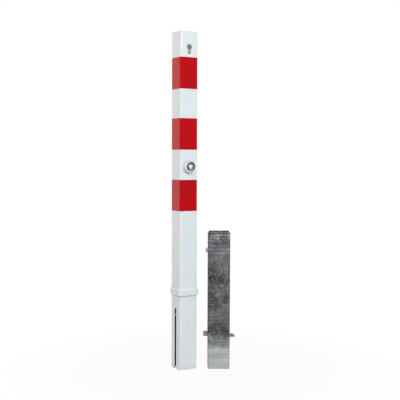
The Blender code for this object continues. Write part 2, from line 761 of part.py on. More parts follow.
def make_hooks():
    """The hinge pin, the hooks on their hub, and the hub's drive pin."""
    pivot = rod("pivot_pin", HINGE, "X", PIVOT_RADIUS, -POST_SIDE / 2 + SEAT_GAP, POST_SIDE / 2 - SEAT_GAP)
    finish(pivot, WHITE_COAT)
    bore = circle(PIVOT_RADIUS + RUN_GAP)
    for name, low in (("hook_left", -HOOK_OUT), ("hook_right", HOOK_IN)):
        hook = prism(name, HOOKS, "X", low, low + HOOK_THICKNESS, hook_outline(), bore)
        finish(hook, ZINC)
    reach = HOOK_IN - SEAT_GAP
    hub = rod("hook_hub", HOOKS, "X", HUB_RADIUS, -reach, reach)
    arm = belt([((0, 0), HUB_RADIUS), ((LEVER_ARM, 0), ARM_END_RADIUS)])
    fuse(hub, prism("hub_arm", HOOKS, "X", HOOK_ARM_IN, HOOK_ARM_OUT, arm))
    cut(
        hub,
        rod("hub_bore", HOOKS, "X", PIVOT_RADIUS + RUN_GAP, -POST_SIDE, POST_SIDE),
        rod("arm_hole", HOOKS, "X", DRIVE_PIN_RADIUS + SEAT_GAP, 0, POST_SIDE, (0, LEVER_ARM, 0)),
    )
    finish(hub, ZINC)
    clip_in = TRIANGLE_ROD_OUT + RUN_GAP
    make_drive_pin("hook", HOOKS, HOOK_ARM_IN, clip_in, clip_in + CLIP_THICKNESS)


def make_drive_pin(owner, frame, inner, clip_low, clip_high):
    """A drive pin through an arm and its rod, with the clip that keeps the rod on it."""
    ends = sorted((inner, clip_low - CLIP_THICKNESS, clip_high + CLIP_THICKNESS))
    pin = rod(owner + "_pin", frame, "X", DRIVE_PIN_RADIUS, ends[0], ends[-1], (0, LEVER_ARM, 0))
    finish(pin, BRIGHT_STEEL)
    middle = (LEVER_ARM, 0)
    clip = prism(
        owner + "_clip",
        frame,
        "X",
        clip_low,
        clip_high,
        circle(CLIP_RADIUS, middle),
        circle(DRIVE_PIN_RADIUS + SEAT_GAP, middle),
    )
    finish(clip, SPRING_STEEL)


def dog_middle():
    """The dog under the hub's arm, touching its slanted lower edge."""
    off_edge = HUB_RADIUS + SEAT_GAP + DOG_RADIUS
    return DOG_OUT, -(off_edge - DOG_OUT * math.sin(ARM_SLOPE)) / math.cos(ARM_SLOPE)


def make_lever():
    """The cylinder's lever on the hub, with the dog that lifts the hub's arm."""
    dog = dog_middle()
    lever = prism(
        "cylinder_lever",
        LEVER,
        "X",
        LEVER_OUT,
        LEVER_IN,
        belt(
            [((0, 0), LEVER_EYE_RADIUS), ((LEVER_ARM, 0), ARM_END_RADIUS), (dog, DOG_RADIUS + DOG_WALL)]
        ),
        circle(LEVER_BORE),
        circle(DRIVE_PIN_RADIUS + SEAT_GAP, (LEVER_ARM, 0)),
        circle(DOG_RADIUS + SEAT_GAP, dog),
    )
    finish(lever, ZINC)
    dog_pin = rod("lever_dog", LEVER, "X", DOG_RADIUS, LEVER_OUT, HOOK_ARM_OUT - RUN_GAP, (0, *dog))
    finish(dog_pin, BRIGHT_STEEL)
    spacer = prism(
        "lever_spacer",
        HOOKS,
        "X",
        -HOOK_IN + SEAT_GAP,
        LEVER_OUT - RUN_GAP,
        circle(HUB_RADIUS + SEAT_GAP + SPACER_WALL),
        circle(HUB_RADIUS + SEAT_GAP),
    )
    finish(spacer, ZINC)
    clip_in = CYLINDER_ROD_OUT - RUN_GAP
    make_drive_pin("lever", LEVER, LEVER_IN, clip_in - CLIP_THICKNESS, clip_in)


def make_spring():
    """The coil spring that pushes the hub's arm down, between arm and lower guide."""
    radius = ARM_THICKNESS / 2 - SPRING_WIRE_RADIUS - SPRING_SIDE_GAP
    inner_edge = SPRING_OUT - radius - SPRING_WIRE_RADIUS
    seat = PIVOT_Z + (HUB_RADIUS - inner_edge * math.sin(ARM_SLOPE)) / math.cos(ARM_SLOPE)
    low = seat + SEAT_GAP + SPRING_WIRE_RADIUS
    high = LOWER_GUIDE_Z - SEAT_GAP - SPRING_WIRE_RADIUS
    steps = SPRING_STEPS * SPRING_TURNS
    wire = bpy.data.curves.new("hook_spring", "CURVE")
    wire.dimensions = "3D"
    wire.bevel_depth = SPRING_WIRE_RADIUS
    wire.bevel_resolution = 1
    wire.use_fill_caps = True
    spline = wire.splines.new("POLY")
    spline.points.add(steps)
    for step, point in enumerate(spline.points):
        angle = 2 * math.pi * SPRING_TURNS * step / steps
        height = low + (high - low) * step / steps
        point.co = (radius * math.cos(angle), radius * math.sin(angle), height, 1)
    spring = bpy.data.objects.new("hook_spring", wire)
    spring.parent = POST
    spring.location = ((HOOK_ARM_IN + HOOK_ARM_OUT) / 2, SPRING_OUT, 0)
    PARTS.objects.link(spring)
    finish(spring, SPRING_STEEL)
    pitch = (high - low) / SPRING_TURNS
    print("hook_spring: least gap between turns", round(1000 * (pitch - 2 * SPRING_WIRE_RADIUS), 2), "mm")


def make_triangle_lock():
    """The rosette, the bush, and the spindle with its triangle, eccentric and nut."""
    face = POST_SIDE / 2
    rim = face + ROSETTE_HEIGHT
    seat = face + SEAT_GAP
    rosette = turned(
        "lock_rosette",
        SPINDLE,
        "Y",
        [
            (ROSETTE_BORE_RADIUS + ROSETTE_EDGE, rim),
            (ROSETTE_RIM_RADIUS - ROSETTE_EDGE, rim),
            (ROSETTE_RIM_RADIUS, rim - ROSETTE_EDGE),
            (ROSETTE_BASE_RADIUS, seat + ROSETTE_BASE),
            (ROSETTE_BASE_RADIUS, seat),
            (ROSETTE_BORE_RADIUS, seat),
            (ROSETTE_BORE_RADIUS, rim - ROSETTE_EDGE),
        ],
        ring=True,
    )
    finish(rosette, BRIGHT_STEEL)
    bush_bore = SPINDLE_RADIUS + RUN_GAP
    flange_front = POST_INSIDE - SEAT_GAP
    flange_back = flange_front - BUSH_FLANGE
    bush_back = face - BUSH_LENGTH
    bush = turned(
        "spindle_bush",
        SPINDLE,
        "Y",
        [
            (BUSH_RADIUS, face),
            (BUSH_RADIUS, flange_front),
            (BUSH_FLANGE_RADIUS, flange_front),
            (BUSH_FLANGE_RADIUS, flange_back),
            (BUSH_RADIUS, flange_back),
            (BUSH_RADIUS, bush_back),
            (bush_bore, bush_back),
            (bush_bore, face),
        ],
        ring=True,
    )
    finish(bush, ZINC)
    make_spindle(seat, rim)


def make_spindle(seat, rim):
    """The triangle stud on its shaft, from just inside the rosette's rim to the nut at the back."""
    plate = seat + SPINDLE_FLANGE
    shoulder = ECCENTRIC_FRONT - SEAT_GAP
    nut_front = ECCENTRIC_BACK + SEAT_GAP
    nut_back = nut_front + NUT_HEIGHT
    spindle = turned(
        "triangle_spindle",
        SPINDLE,
        "Y",
        [
            (0, plate),
            (SPINDLE_FLANGE_RADIUS, plate),
            (SPINDLE_FLANGE_RADIUS, seat),
            (SPINDLE_RADIUS, seat),
            (SPINDLE_RADIUS, -shoulder),
            (0, -shoulder),
        ],
    )
    inner_side = TRIANGLE_SIDE - 2 * math.sqrt(3) * TRIANGLE_ROUND
    corners = arc((0, 0), inner_side / math.sqrt(3), 30, 390, 3)[:-1]
    stud = rounded(corners, TRIANGLE_ROUND)
    half = SPINDLE_SQUARE / 2
    square = rectangle((-half, -half), (half, half))
    sunk = SPINDLE_FLANGE / 2
    fuse(
        spindle,
        prism("triangle", SPINDLE, "Y", TRIANGLE_RECESS - rim, sunk - plate, stud),
        prism("square", SPINDLE, "Y", shoulder - sunk, ECCENTRIC_BACK, square),
        rod("stub", SPINDLE, "Y", SPINDLE_STUB_RADIUS, ECCENTRIC_BACK - sunk, nut_back + SEAT_GAP),
    )
    finish(spindle, BRIGHT_STEEL)
    low = ECCENTRICITY * math.sin(SPINDLE_TURN / 2)
    aside = ECCENTRICITY * math.cos(SPINDLE_TURN / 2)
    reach = half + SEAT_GAP
    eccentric = prism(
        "eccentric",
        SPINDLE,
        "Y",
        ECCENTRIC_FRONT,
        ECCENTRIC_BACK,
        circle(ECCENTRIC_RADIUS, (-aside, -low)),
        rectangle((-reach, -reach), (reach, reach)),
    )
    finish(eccentric, ZINC)
    bore = circle(SPINDLE_STUB_RADIUS + SEAT_GAP)
    nut = prism("spindle_nut", SPINDLE, "Y", nut_front, nut_back, polygon(6, NUT_ACROSS_FLATS), bore)
    finish(nut, ZINC)


def centre_on_origin():
    """Move everything so that the box round it stands on the origin, in the middle."""
    graph = bpy.context.evaluated_depsgraph_get()
    points = []
    for piece in PARTS.objects:
        if piece.type != "EMPTY":
            shown = piece.evaluated_get(graph)
            points += [shown.matrix_world @ vertex.co for vertex in shown.to_mesh().vertices]
    for axis in (0, 1):
        values = [point[axis] for point in points]
        GROUND.location[axis] = -(min(values) + max(values)) / 2
    bpy.context.view_layer.update()


clear_scene()
PARTS = new_collection("removable_post")
CUTTERS = new_collection("cutters")
GROUND = new_frame("ground_frame")
POST = new_frame("post_frame", GROUND)
SOCKET = new_frame("socket_frame", GROUND, SOCKET_PLACE, SOCKET_TURN)
CROSS_PIN = new_frame("cross_pin_frame", SOCKET, (0, 0, SOCKET_LENGTH - PIN_BELOW_RIM))
HINGE = new_frame("hinge_frame", POST, (0, 0, PIVOT_Z))
LEVER = new_frame("lever_frame", HINGE)
HOOKS = new_frame("hooks_frame", LEVER)
SPINDLE = new_frame("spindle_frame", POST, (0, 0, SPINDLE_Z))
PLUG = new_frame("plug_frame", POST, (0, 0, PLUG_Z))
CYLINDER_SCREW = new_frame(
    "cylinder_screw_frame", PLUG, (0, (CAM_SLOT_FRONT + CAM_SLOT_BACK) / 2, -SCREW_DROP)
)
TRIANGLE_ROD = new_frame("triangle_rod_frame", POST)
CYLINDER_ROD = new_frame("cylinder_rod_frame", POST)

make_post()
make_bands()
make_socket()
make_cylinder()
make_plug()
make_rods()
make_guides()
make_hooks()
make_lever()
make_spring()
make_triangle_lock()
centre_on_origin()
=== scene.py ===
"""A removable barrier post and its ground socket, dressed and lit for the photograph's view.

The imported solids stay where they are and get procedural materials. Added to them are the small things that
the solids leave out: weld beads, filled seams, the laps of the red film, the pads on the hooks' jaws,
a spring that the keys press together, and a finely turned ring round the triangle stud.
Metres, +Z up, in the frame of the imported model.
"""

import json
import math

import bmesh
import bpy
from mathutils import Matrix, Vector, noise


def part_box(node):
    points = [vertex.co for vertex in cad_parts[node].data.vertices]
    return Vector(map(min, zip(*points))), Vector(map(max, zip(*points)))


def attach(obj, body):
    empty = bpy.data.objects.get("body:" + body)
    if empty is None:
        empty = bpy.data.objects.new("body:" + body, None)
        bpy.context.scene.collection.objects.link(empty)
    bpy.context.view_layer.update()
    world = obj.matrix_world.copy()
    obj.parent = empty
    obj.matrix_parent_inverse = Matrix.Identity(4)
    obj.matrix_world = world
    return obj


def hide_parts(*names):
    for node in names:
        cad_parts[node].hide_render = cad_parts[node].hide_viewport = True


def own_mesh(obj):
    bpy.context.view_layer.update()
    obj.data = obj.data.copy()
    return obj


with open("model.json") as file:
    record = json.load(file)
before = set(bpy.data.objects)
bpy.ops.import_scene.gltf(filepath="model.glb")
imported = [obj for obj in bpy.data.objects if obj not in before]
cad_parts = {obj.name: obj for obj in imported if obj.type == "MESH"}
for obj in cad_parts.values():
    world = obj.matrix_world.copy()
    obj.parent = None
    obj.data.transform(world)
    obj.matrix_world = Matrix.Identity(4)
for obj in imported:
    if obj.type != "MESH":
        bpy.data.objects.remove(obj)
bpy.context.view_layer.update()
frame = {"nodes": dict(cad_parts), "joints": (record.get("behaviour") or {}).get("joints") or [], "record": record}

# Photograph and camera, found by fitting the edges of post and socket
PHOTO_WIDTH = 400  # pixels
FOCAL_PIXELS = 806
SENSOR_WIDTH = 36  # millimetres
CAMERA_FROM_POST = Vector((-1.397, -2.563, 0.7585))
CAMERA_AZIMUTH = math.radians(-29.7)
CAMERA_TILT = math.radians(2.85)
CAMERA_ROLL = math.radians(-0.22)

# Light; a lamp is its name, place, size across and up, watts and colour
AMBIENT = 0.27
WHITE = (1, 1, 1)
WARM = (1.0, 0.985, 0.945)
COOL = (0.835, 0.935, 0.995)
LAMP_AIM = 0.6  # height on the post that the lamps point at
LAMPS = (
    ("key", (-2.7, -0.9, 2.8), (0.5, 1.6), 27, WARM),
    ("edge", (-3.4, 0.0, 1.9), (0.2, 1.8), 24, WARM),
    ("high_front", (0.3, -4.6, 2.4), (1.8, 1.8), 146, COOL),
    ("back_left", (-1.7, 2.6, 1.0), (1.0, 2.2), 5, WHITE),
    ("back_right", (1.9, 3.2, 2.0), (1.6, 1.8), 75, WHITE),
)
FLOOR_SIZE = 60
FLOOR_COLOUR = (0.60, 0.60, 0.60)
FLOOR_ROUGHNESS = 0.9
FLOOR_GLOW_NEAR = 0.93  # share of white close to the part, where the shadow lies
FLOOR_GLOW_START = 0.2
FLOOR_GLOW_REACH = 0.9

# Sizes that the added pieces share with the solids
POST_CORNER = 0.007
SOCKET_TURN = math.radians(-28.75)
ROSETTE_RIM_RADIUS = 0.0215
ROSETTE_BORE_RADIUS = 0.018
ROSETTE_BASE = 0.0033  # height of the foot under the cone
ROSETTE_EDGE = 0.0012
PLATE_RADIUS = 0.0128  # of the spindle's plate at the bottom of the bore
PIVOT_RADIUS = 0.005
SLOT_HALF = 0.0055
LOCK_RING = 0.0075  # from the core's axis down to the lobe
SEAT_GAP = 0.0003
JAW_NOSE = 0.0074  # from the jaw's top down to the hook's lowest point
JAW_TIP = 0.0035  # height of the upright front, above the slant
JAW_FRONT = -0.004  # from the pivot
JAW_BACK = 0.0075
SPRING_WIRE = 0.0006
SPRING_TURNS = 9
SOCKET_SIDE = 0.080
SOCKET_WALL = 0.003
PIN_HEAD_RADIUS = 0.0095
ANCHOR_THICKNESS = 0.005
RIGHT_ANCHOR_WIDTH = 0.036

# Sizes of the added pieces
ROSETTE_LIP = 3  # edge radii from the rim down to the dark bore
SPRING_STEPS = 24  # in a turn
WIRE_RESOLUTION = 2
PAD_HEIGHT = 0.0042
PAD_THICKNESS = 0.0016
WELD_STEP = 0.0016  # between ripples
WELD_RIPPLE = 0.07  # share of a bead's radius
WELD_UNEVEN = 0.10  # share of a bead's radius
WELD_WAVES = 190  # per metre
BEAD_RESOLUTION = 3
COLLAR_BEAD = 0.0013
SEAL_BEAD = 0.00065
CAP_BEAD = 0.0011
CAP_BEAD_SUNK = 1.7  # bead radii that the seam's square is narrower than the tube
ANCHOR_BEAD = 0.0024
ANCHOR_BEAD_OUT = 0.0008  # from the bar's face to the middle of the bead
PIN_BEAD = 0.0016
SEAM_BEAD = 0.0016
FILM_LAP_WIDTH = 0.012
FILM_LAP = 0.0003
FILL_DOME = 0.0004
FILL_SHOULDER = 0.8  # share of the dome's height
PIN_FILL_RADIUS = 0.0062
PIVOT_SHOULDER = 0.5  # share of the fill's radius
PIN_SHOULDER = 0.6  # share of the fill's radius
LATHE_STEPS = 96
FILL_STEPS = 48
SHARP_ANGLE = math.radians(40)
MERGE_DISTANCE = 0.0000001

# Radii of the softened edges
COAT_EDGE = 0.0008
FILM_EDGE = 0.00015  # less than the film's thickness
ZINC_EDGE = 0.0007
METAL_EDGE = 0.0004
STUD_EDGE = 0.0006
LOCK_EDGE = 0.0005
EDGE_SAMPLES = 4
EDGE_LIKENESS = 0.85  # of the soft and the true normal, where an edge counts in full

# How far wear, dirt, painted shade and painted highlights reach
COAT_DEPTH = 0.0002  # of the coat into slots and holes; past it the bare steel is painted near-black as shade
SCUFF_REACH = 0.2  # below the collar
FOOT_REACH = 0.02
# painted shade along the slot rims
SLOT_SHADE_REACH = 0.0018
# painted shade under the collar
COLLAR_SHADE_REACH = 0.006
ZINC_RUB = 0.0012
METAL_RUB = 0.0006
# depth at which painted shade starts on the triangle stud
STUD_SHADE_DEPTH = 0.003
# painted shade on the lock's housing round the core
LOCK_SHADE_FADE = 0.002
JAW_HIGHLIGHT_TOP = 0.009  # up from the hook's lowest point, where the jaw's painted highlight fades out
JAW_HIGHLIGHT_FULL = 0.0063

# Depth of the relief on each surface
PEEL_DEPTH = 0.00003
FILM_WAVE_DEPTH = 0.00006
ZINC_DEPTH = 0.00012
GRAIN_DEPTH = 0.00002
SCRATCH_DEPTH = 0.00003

# Patterns, in waves per metre, or by axis where they are drawn out
COAT_CLOUDS = 9.0
COAT_SHEEN = 55.0
COAT_PEEL = 700.0
COAT_SCUFFS = (420, 420, 16)
FOOT_DIRT = 160.0
SLOT_SHADE_PATCHES = 130.0
COLLAR_SHADE_PATCHES = 60.0
FILM_CLOUDS = 13.0
FILM_BEADS = 5200.0
FILM_SHEEN = 90.0
FILM_WAVES = 60.0
ZINC_PUSH = 30.0
ZINC_PUSH_REACH = 0.030
ZINC_WAVE = 0.016
ZINC_BLOTCHES = 26.0
ZINC_SPECKS = 150.0
ZINC_SPECK_SHAPE = (1, 1, 0.7)
ZINC_FLOW = (60, 60, 260)
ZINC_LINE_SHAPE = (0.25, 0.25, 1.0)
ZINC_LINE_PUSH = 9.0
ZINC_LINES = (8, 8, 150)
ZINC_WARM_CLOUDS = 19.0
ZINC_GREEN_CLOUDS = 27.0
ZINC_GREEN_SHAPE = (1, 1, 1.7)
METAL_STAINS = 120.0
METAL_GRAIN = 1200.0
LATHE_RINGS = 2600.0
LATHE_SLANT = 0.7  # a step along the axis counts as this much of a step across it
LATHE_STAINS = 150.0
STUD_SCRATCHES = (900, 60, 900)
STUD_SHADE_CLOUDS = 260.0
LOCK_STAINS = 260.0
HOOK_STAINS = 140.0

# Detail of a noise, in octaves
ROUND = 0.0
SMOOTH = 1.0
COARSE = 2.0
MEDIUM = 3.0
FINE = 4.0

# Part of a noise that shows, from nothing to full
NOISE_CUT = (0.3, 0.7)
SCUFF_CUT = (0.62, 0.74)
DIRT_CUT = (0.35, 0.75)
PATCH_CUT = (0.35, 0.65)
BEAD_CUT = (0.55, 0.8)
TINT_CUT = (0.40, 0.60)
STAIN_CUT = (0.35, 0.70)
LATHE_STAIN_CUT = (0.4, 0.75)
SCRATCH_CUT = (0.45, 0.7)

# How strongly it shows: the most, or from the weakest to the strongest spot
SCUFF_STRENGTH = 0.22
DIRT_STRENGTH = (0.0, 0.5)
SLOT_SHADE_STRENGTH = (0.75, 0.9)
COLLAR_SHADE_STRENGTH = (0.65, 1.0)
BEAD_STRENGTH = (0.0, 0.35)
FILM_CUT_STRENGTH = 0.5
BLOTCH_WEIGHT = 0.9
SPECK_WEIGHT = 0.8
FLOW_WEIGHT = 0.6
STREAK_STRENGTH = (0.12, -0.16)
ZINC_RUB_STRENGTH = 0.3
METAL_RUB_STRENGTH = 0.55
METAL_RUB_GAIN = 1.2
# painted shade under the rosette's lower side
ROSETTE_SHADE_STRENGTH = (0.5, 0.9)
ROSETTE_SHADE_START = 0.3  # of the rim's radius, below the axis

# Colours: the two tones of each surface, then its wear and dirt, and painted shade and highlights
COAT_TONES = ((0.785, 0.805, 0.810), (0.810, 0.825, 0.825))
COAT_SCUFFED = (0.50, 0.50, 0.49)
COAT_DIRTY = (0.42, 0.41, 0.39)
# painted shade under the collar
COLLAR_SHADE = (0.30, 0.30, 0.30)
# bare steel inside the tube, painted near-black as shade, with its reflection dimmed as painted shade
SHADED_BARE_STEEL = (0.004, 0.004, 0.004)
SHADE_MIRROR_TINT = (0.1, 0.1, 0.1)
# painted shade along the slot rims
SLOT_SHADE = (0.05, 0.05, 0.05)
# painted highlight on the hooks' jaws and on the slots' cut edges beside them
HIGHLIGHT_STEEL = (0.92, 0.92, 0.91)
FILM_TONES = ((0.47, 0.005, 0.009), (0.57, 0.003, 0.006))
FILM_BEAD = (0.62, 0.020, 0.020)
FILM_CUT = (0.30, 0.01, 0.012)
FILM_TINT = (0.8, 0.06, 0.06)
ZINC_RUBBED = (0.30, 0.31, 0.31)
ZINC_COLD_WARM = ((0.96, 1.0, 1.04), (1.03, 1.0, 0.96))
ZINC_PINK_GREEN = ((1.02, 0.98, 1.03), (0.98, 1.02, 0.97))
NICKEL_TONES = ((0.26, 0.245, 0.205), (0.15, 0.14, 0.115))
PLATE_TONES = ((0.64, 0.65, 0.66), (0.54, 0.54, 0.52))
BRIGHT_TONES = ((0.72, 0.74, 0.75), (0.60, 0.62, 0.62))
SPRING_TONES = ((0.17, 0.17, 0.18), (0.11, 0.10, 0.10))
# the bore, darker than the ring as painted shade
BORE_SHADE_TONES = ((0.40, 0.41, 0.42), (0.30, 0.305, 0.31))
ROSETTE_TONES = ((0.66, 0.68, 0.69), (0.59, 0.61, 0.62))
# painted shade under the rosette's lower side
ROSETTE_UNDER_SHADE = (0.38, 0.385, 0.39)
# painted highlight on the rosette's rim
ROSETTE_RIM_HIGHLIGHT = (0.88, 0.90, 0.91)
STUD_TONES = ((0.84, 0.85, 0.86), (0.66, 0.67, 0.68))
# painted shade on the stud down in the bore
STUD_BORE_SHADE = ((0.19, 0.195, 0.205), (0.27, 0.275, 0.28))
LOCK_TONES = ((0.36, 0.30, 0.305), (0.25, 0.205, 0.215))
# painted shade on the lock's housing round the core
LOCK_RING_SHADE = ((0.16, 0.15, 0.125), (0.08, 0.075, 0.06))
HOOK_TONES = ((0.42, 0.42, 0.41), (0.34, 0.34, 0.33))

# Gloss: roughness at the two ends of a pattern, share of metal, and strength of the mirror
COAT_ROUGH = (0.28, 0.33)
FILM_ROUGH = (0.26, 0.36)
FILM_MIRROR = 0.36
ZINC_ROUGH_TONES = (0.2, 0.8)
ZINC_ROUGH = (0.58, 0.40)
ZINC_METAL = 0.65
ZINC_MIRROR = 0.5
NICKEL_ROUGH = (0.24, 0.36)
PLATE_ROUGH = (0.32, 0.46)
BRIGHT_ROUGH = (0.24, 0.36)
SPRING_ROUGH = (0.30, 0.42)
BORE_ROUGH = (0.36, 0.50)
BORE_METAL = 0.2
ROSETTE_ROUGH = (0.24, 0.34)
ROSETTE_METAL = 0.06
STUD_ROUGH = (0.30, 0.45)
STUD_METAL = (0.6, 0.2)
LOCK_ROUGH = (0.30, 0.44)
LOCK_METAL = 0.7
HOOK_ROUGH = (0.45, 0.60)
HOOK_METAL = 0.1

# Zinc from dark to pale, and the way it ran off
ZINC_TONES = (
    (0.00, (0.014, 0.014, 0.015)),
    (0.25, (0.066, 0.066, 0.065)),
    (0.45, (0.140, 0.141, 0.139)),
    (0.65, (0.272, 0.279, 0.277)),
    (0.85, (0.460, 0.485, 0.485)),
    (1.00, (0.580, 0.605, 0.605)),
)
FLOW_SLANT = (0.0, math.radians(35), 0.0)

# Zones that the zinc bath left on the socket: height, tone, mottling, level streaks
SOCKET_ZONES = (
    (0.000, 0.80, 0.14, 0.35),
    (0.060, 0.78, 0.20, 0.45),
    (0.070, 0.83, 0.20, 0.35),
    (0.079, 0.67, 0.30, 0.30),
    (0.091, 0.55, 0.40, 0.30),
    (0.115, 0.46, 0.80, 0.15),
    (0.138, 0.25, 1.10, 0.20),
    (0.190, 0.39, 0.35, 0.55),
    (0.245, 0.29, 1.10, 0.15),
    (0.285, 0.36, 0.80, 0.15),
    (0.325, 0.27, 1.25, 0.15),
    (0.360, 0.34, 0.70, 0.15),
    (0.400, 0.42, 0.40, 0.25),
    (0.450, 0.40, 0.80, 0.90),
    (0.475, 0.34, 1.40, 1.00),
    (0.490, 0.50, 1.30, 1.00),
)
BAR_ZONES = ((0.0, 0.62, 0.5, 0.2), (0.5, 0.96, 0.5, 0.2))
FLAT_BAR_ZONES = ((0.0, 0.68, 0.4, 0.1), (0.5, 0.68, 0.4, 0.1))
ZONE_TOP = 0.5

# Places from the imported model
post_low, post_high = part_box("post_tube")
cap_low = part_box("top_cap")[0]
collar_low, collar_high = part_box("collar")
rosette_low, rosette_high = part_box("lock_rosette")
stud_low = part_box("triangle_spindle")[0]
hook_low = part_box("hook_left")[0]
socket_low, socket_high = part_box("socket_tube")
pin_low, pin_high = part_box("cross_pin")
left_low, left_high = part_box("anchor_left")
right_low, right_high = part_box("anchor_right")
joints = {joint["name"]: joint for joint in frame["joints"]}
POST_AXIS = (post_low + post_high) / 2
POST_SIDE = post_high.x - post_low.x
SOCKET_AXIS = (socket_low + socket_high) / 2
SPINDLE = Vector(joints["spindle_turn"]["pos_m"])
HOOK_PIVOT = Vector(joints["hook_turn"]["pos_m"])
PLUG = Vector(joints["plug_turn"]["pos_m"])
JAW_TOP = hook_low.z + JAW_NOSE


def add(tree, kind, settings=None, **inputs):
    """A shader node; each input is a value or another node's output, named with _ for a space."""
    node = tree.nodes.new("ShaderNode" + kind)
    for name, value in (settings or {}).items():
        setattr(node, name, value)
    for name, value in inputs.items():
        connect(tree, node.inputs[name.replace("_", " ")], value)
    return node


def connect(tree, socket, value):
    """Link an output to a socket, or set the socket's own value."""
    if isinstance(value, bpy.types.NodeSocket):
        tree.links.new(value, socket)
    elif socket.type == "RGBA":
        socket.default_value = (*value, 1)
    else:
        socket.default_value = value


def maths(tree, operation, first, *others):
    """An operation on a number with each of the others in turn; a root or an absolute needs none."""
    result = first
    for other in others or (0.0,):
        node = add(tree, "Math", {"operation": operation})
        connect(tree, node.inputs[0], result)
        connect(tree, node.inputs[1], other)
        result = node.outputs[0]
    return result


def apart(tree, value, middle):
    """How far a number lies from a middle, to either side."""
    return maths(tree, "ABSOLUTE", maths(tree, "SUBTRACT", value, middle))


def diagonal(tree, first, second):
    """The length of two steps at right angles."""
    squares = maths(tree, "ADD", maths(tree, "POWER", first, 2.0), maths(tree, "POWER", second, 2.0))
    return maths(tree, "SQRT", squares)


def place_of(tree):
    """Places on the object in metres, which move with it."""
    return add(tree, "TexCoord").outputs["Object"]


def axes_of(tree, place):
    """The X, Y and Z of a place."""
    return add(tree, "SeparateXYZ", Vector=place).outputs


def stretched(tree, place, scale):
    """Places scaled by axis, which stretches a pattern along the axes with small numbers."""
    return add(tree, "Mapping", Vector=place, Scale=scale).outputs["Vector"]


def clouds(tree, place, scale=1.0, detail=MEDIUM):
    """Noise from 0 to 1."""
    return add(tree, "TexNoise", Vector=place, Scale=scale, Detail=detail).outputs["Fac"]


def warped(tree, place, scale, amount):
    """Places pushed about by noise."""
    push = add(tree, "TexNoise", Vector=place, Scale=scale, Detail=COARSE).outputs["Color"]
    node = add(tree, "VectorMath", {"operation": "MULTIPLY_ADD"})
    connect(tree, node.inputs[0], push)
    connect(tree, node.inputs[1], (amount, amount, amount))
    connect(tree, node.inputs[2], place)
    return node.outputs[0]


def span(tree, value, low, high, new_low=0.0, new_high=1.0, smooth=False):
    """A range of numbers laid onto another, held at its ends."""
    settings = {"interpolation_type": "SMOOTHSTEP" if smooth else "LINEAR"}
    node = add(tree, "MapRange", settings, Value=value)
    for name, number in (("From Min", low), ("From Max", high), ("To Min", new_low), ("To Max", new_high)):
        node.inputs[name].default_value = number
    return node.outputs["Result"]


def blend(tree, factor, first, second, way="MIX"):
    """A mix of two colours."""
    node = add(tree, "Mix", {"data_type": "RGBA", "blend_type": way})
    connect(tree, node.inputs["Factor"], factor)
    colours = [socket for socket in node.inputs if socket.type == "RGBA"]
    connect(tree, colours[0], first)
    connect(tree, colours[1], second)
    return next(socket for socket in node.outputs if socket.type == "RGBA")


def ramp(tree, value, stops):
    """Colours laid along 0 to 1; a stop is (place, colour)."""
    node = add(tree, "ValToRGB", Fac=value)
    points = node.color_ramp.elements
    points[0].position = stops[0][0]
    points[-1].position = stops[-1][0]
    for place, _ in stops[1:-1]:
        points.new(place)
    for point, (_, colour) in zip(points, stops):
        point.color = (*colour, 1)
    return node.outputs["Color"]


def soft_edges(tree, radius):
    """Normals that round a solid's sharp edges."""
    return add(tree, "Bevel", {"samples": EDGE_SAMPLES}, Radius=radius).outputs["Normal"]


def edge_mask(tree, radius):
    """1 along sharp edges, 0 on open faces."""
    likeness = add(tree, "VectorMath", {"operation": "DOT_PRODUCT"})
    connect(tree, likeness.inputs[0], soft_edges(tree, radius))
    connect(tree, likeness.inputs[1], add(tree, "NewGeometry").outputs["Normal"])
    return span(tree, likeness.outputs["Value"], 1.0, EDGE_LIKENESS)


def relief(tree, height, depth, normal):
    """Bumps of a depth in metres, on top of other normals."""
    return add(tree, "Bump", Height=height, Distance=depth, Strength=1.0, Normal=normal).outputs["Normal"]


def new_look(name):
    """An empty material: the material, its node tree and its shader."""
    material = bpy.data.materials.new(name)
    material.use_nodes = True
    tree = material.node_tree
    return material, tree, tree.nodes["Principled BSDF"]


def dress(tree, shader, **inputs):
    """Set or link a shader's sockets."""
    for name, value in inputs.items():
        connect(tree, shader.inputs[name.replace("_", " ")], value)


def inside_post(tree, place):
    """1 on the bare inner faces of the post's tube, which are painted near-black as shade, 0 on its outside."""
    straight = POST_SIDE / 2 - POST_CORNER
    axes = axes_of(tree, place)
    across = maths(tree, "SUBTRACT", apart(tree, axes["X"], POST_AXIS.x), straight)
    deep = maths(tree, "SUBTRACT", apart(tree, axes["Y"], POST_AXIS.y), straight)
    reach = diagonal(tree, maths(tree, "MAXIMUM", across, 0.0), maths(tree, "MAXIMUM", deep, 0.0))
    return span(tree, reach, POST_CORNER - COAT_DEPTH, POST_CORNER - 2 * COAT_DEPTH)


def slot_shade(tree, place):
    """Up to 1 along the rims of the slots, where painted shade makes them read darker."""
    axes = axes_of(tree, place)
    deep = apart(tree, axes["Y"], POST_AXIS.y)
    near = span(tree, deep, SLOT_HALF + 2 * SLOT_SHADE_REACH, SLOT_HALF + SLOT_SHADE_REACH)
    below = span(tree, axes["Z"], HOOK_PIVOT.z, HOOK_PIVOT.z - SLOT_SHADE_REACH)
    patches = span(tree, clouds(tree, place, SLOT_SHADE_PATCHES), *PATCH_CUT, *SLOT_SHADE_STRENGTH)
    return maths(tree, "MULTIPLY", near, below, edge_mask(tree, SLOT_SHADE_REACH), patches)


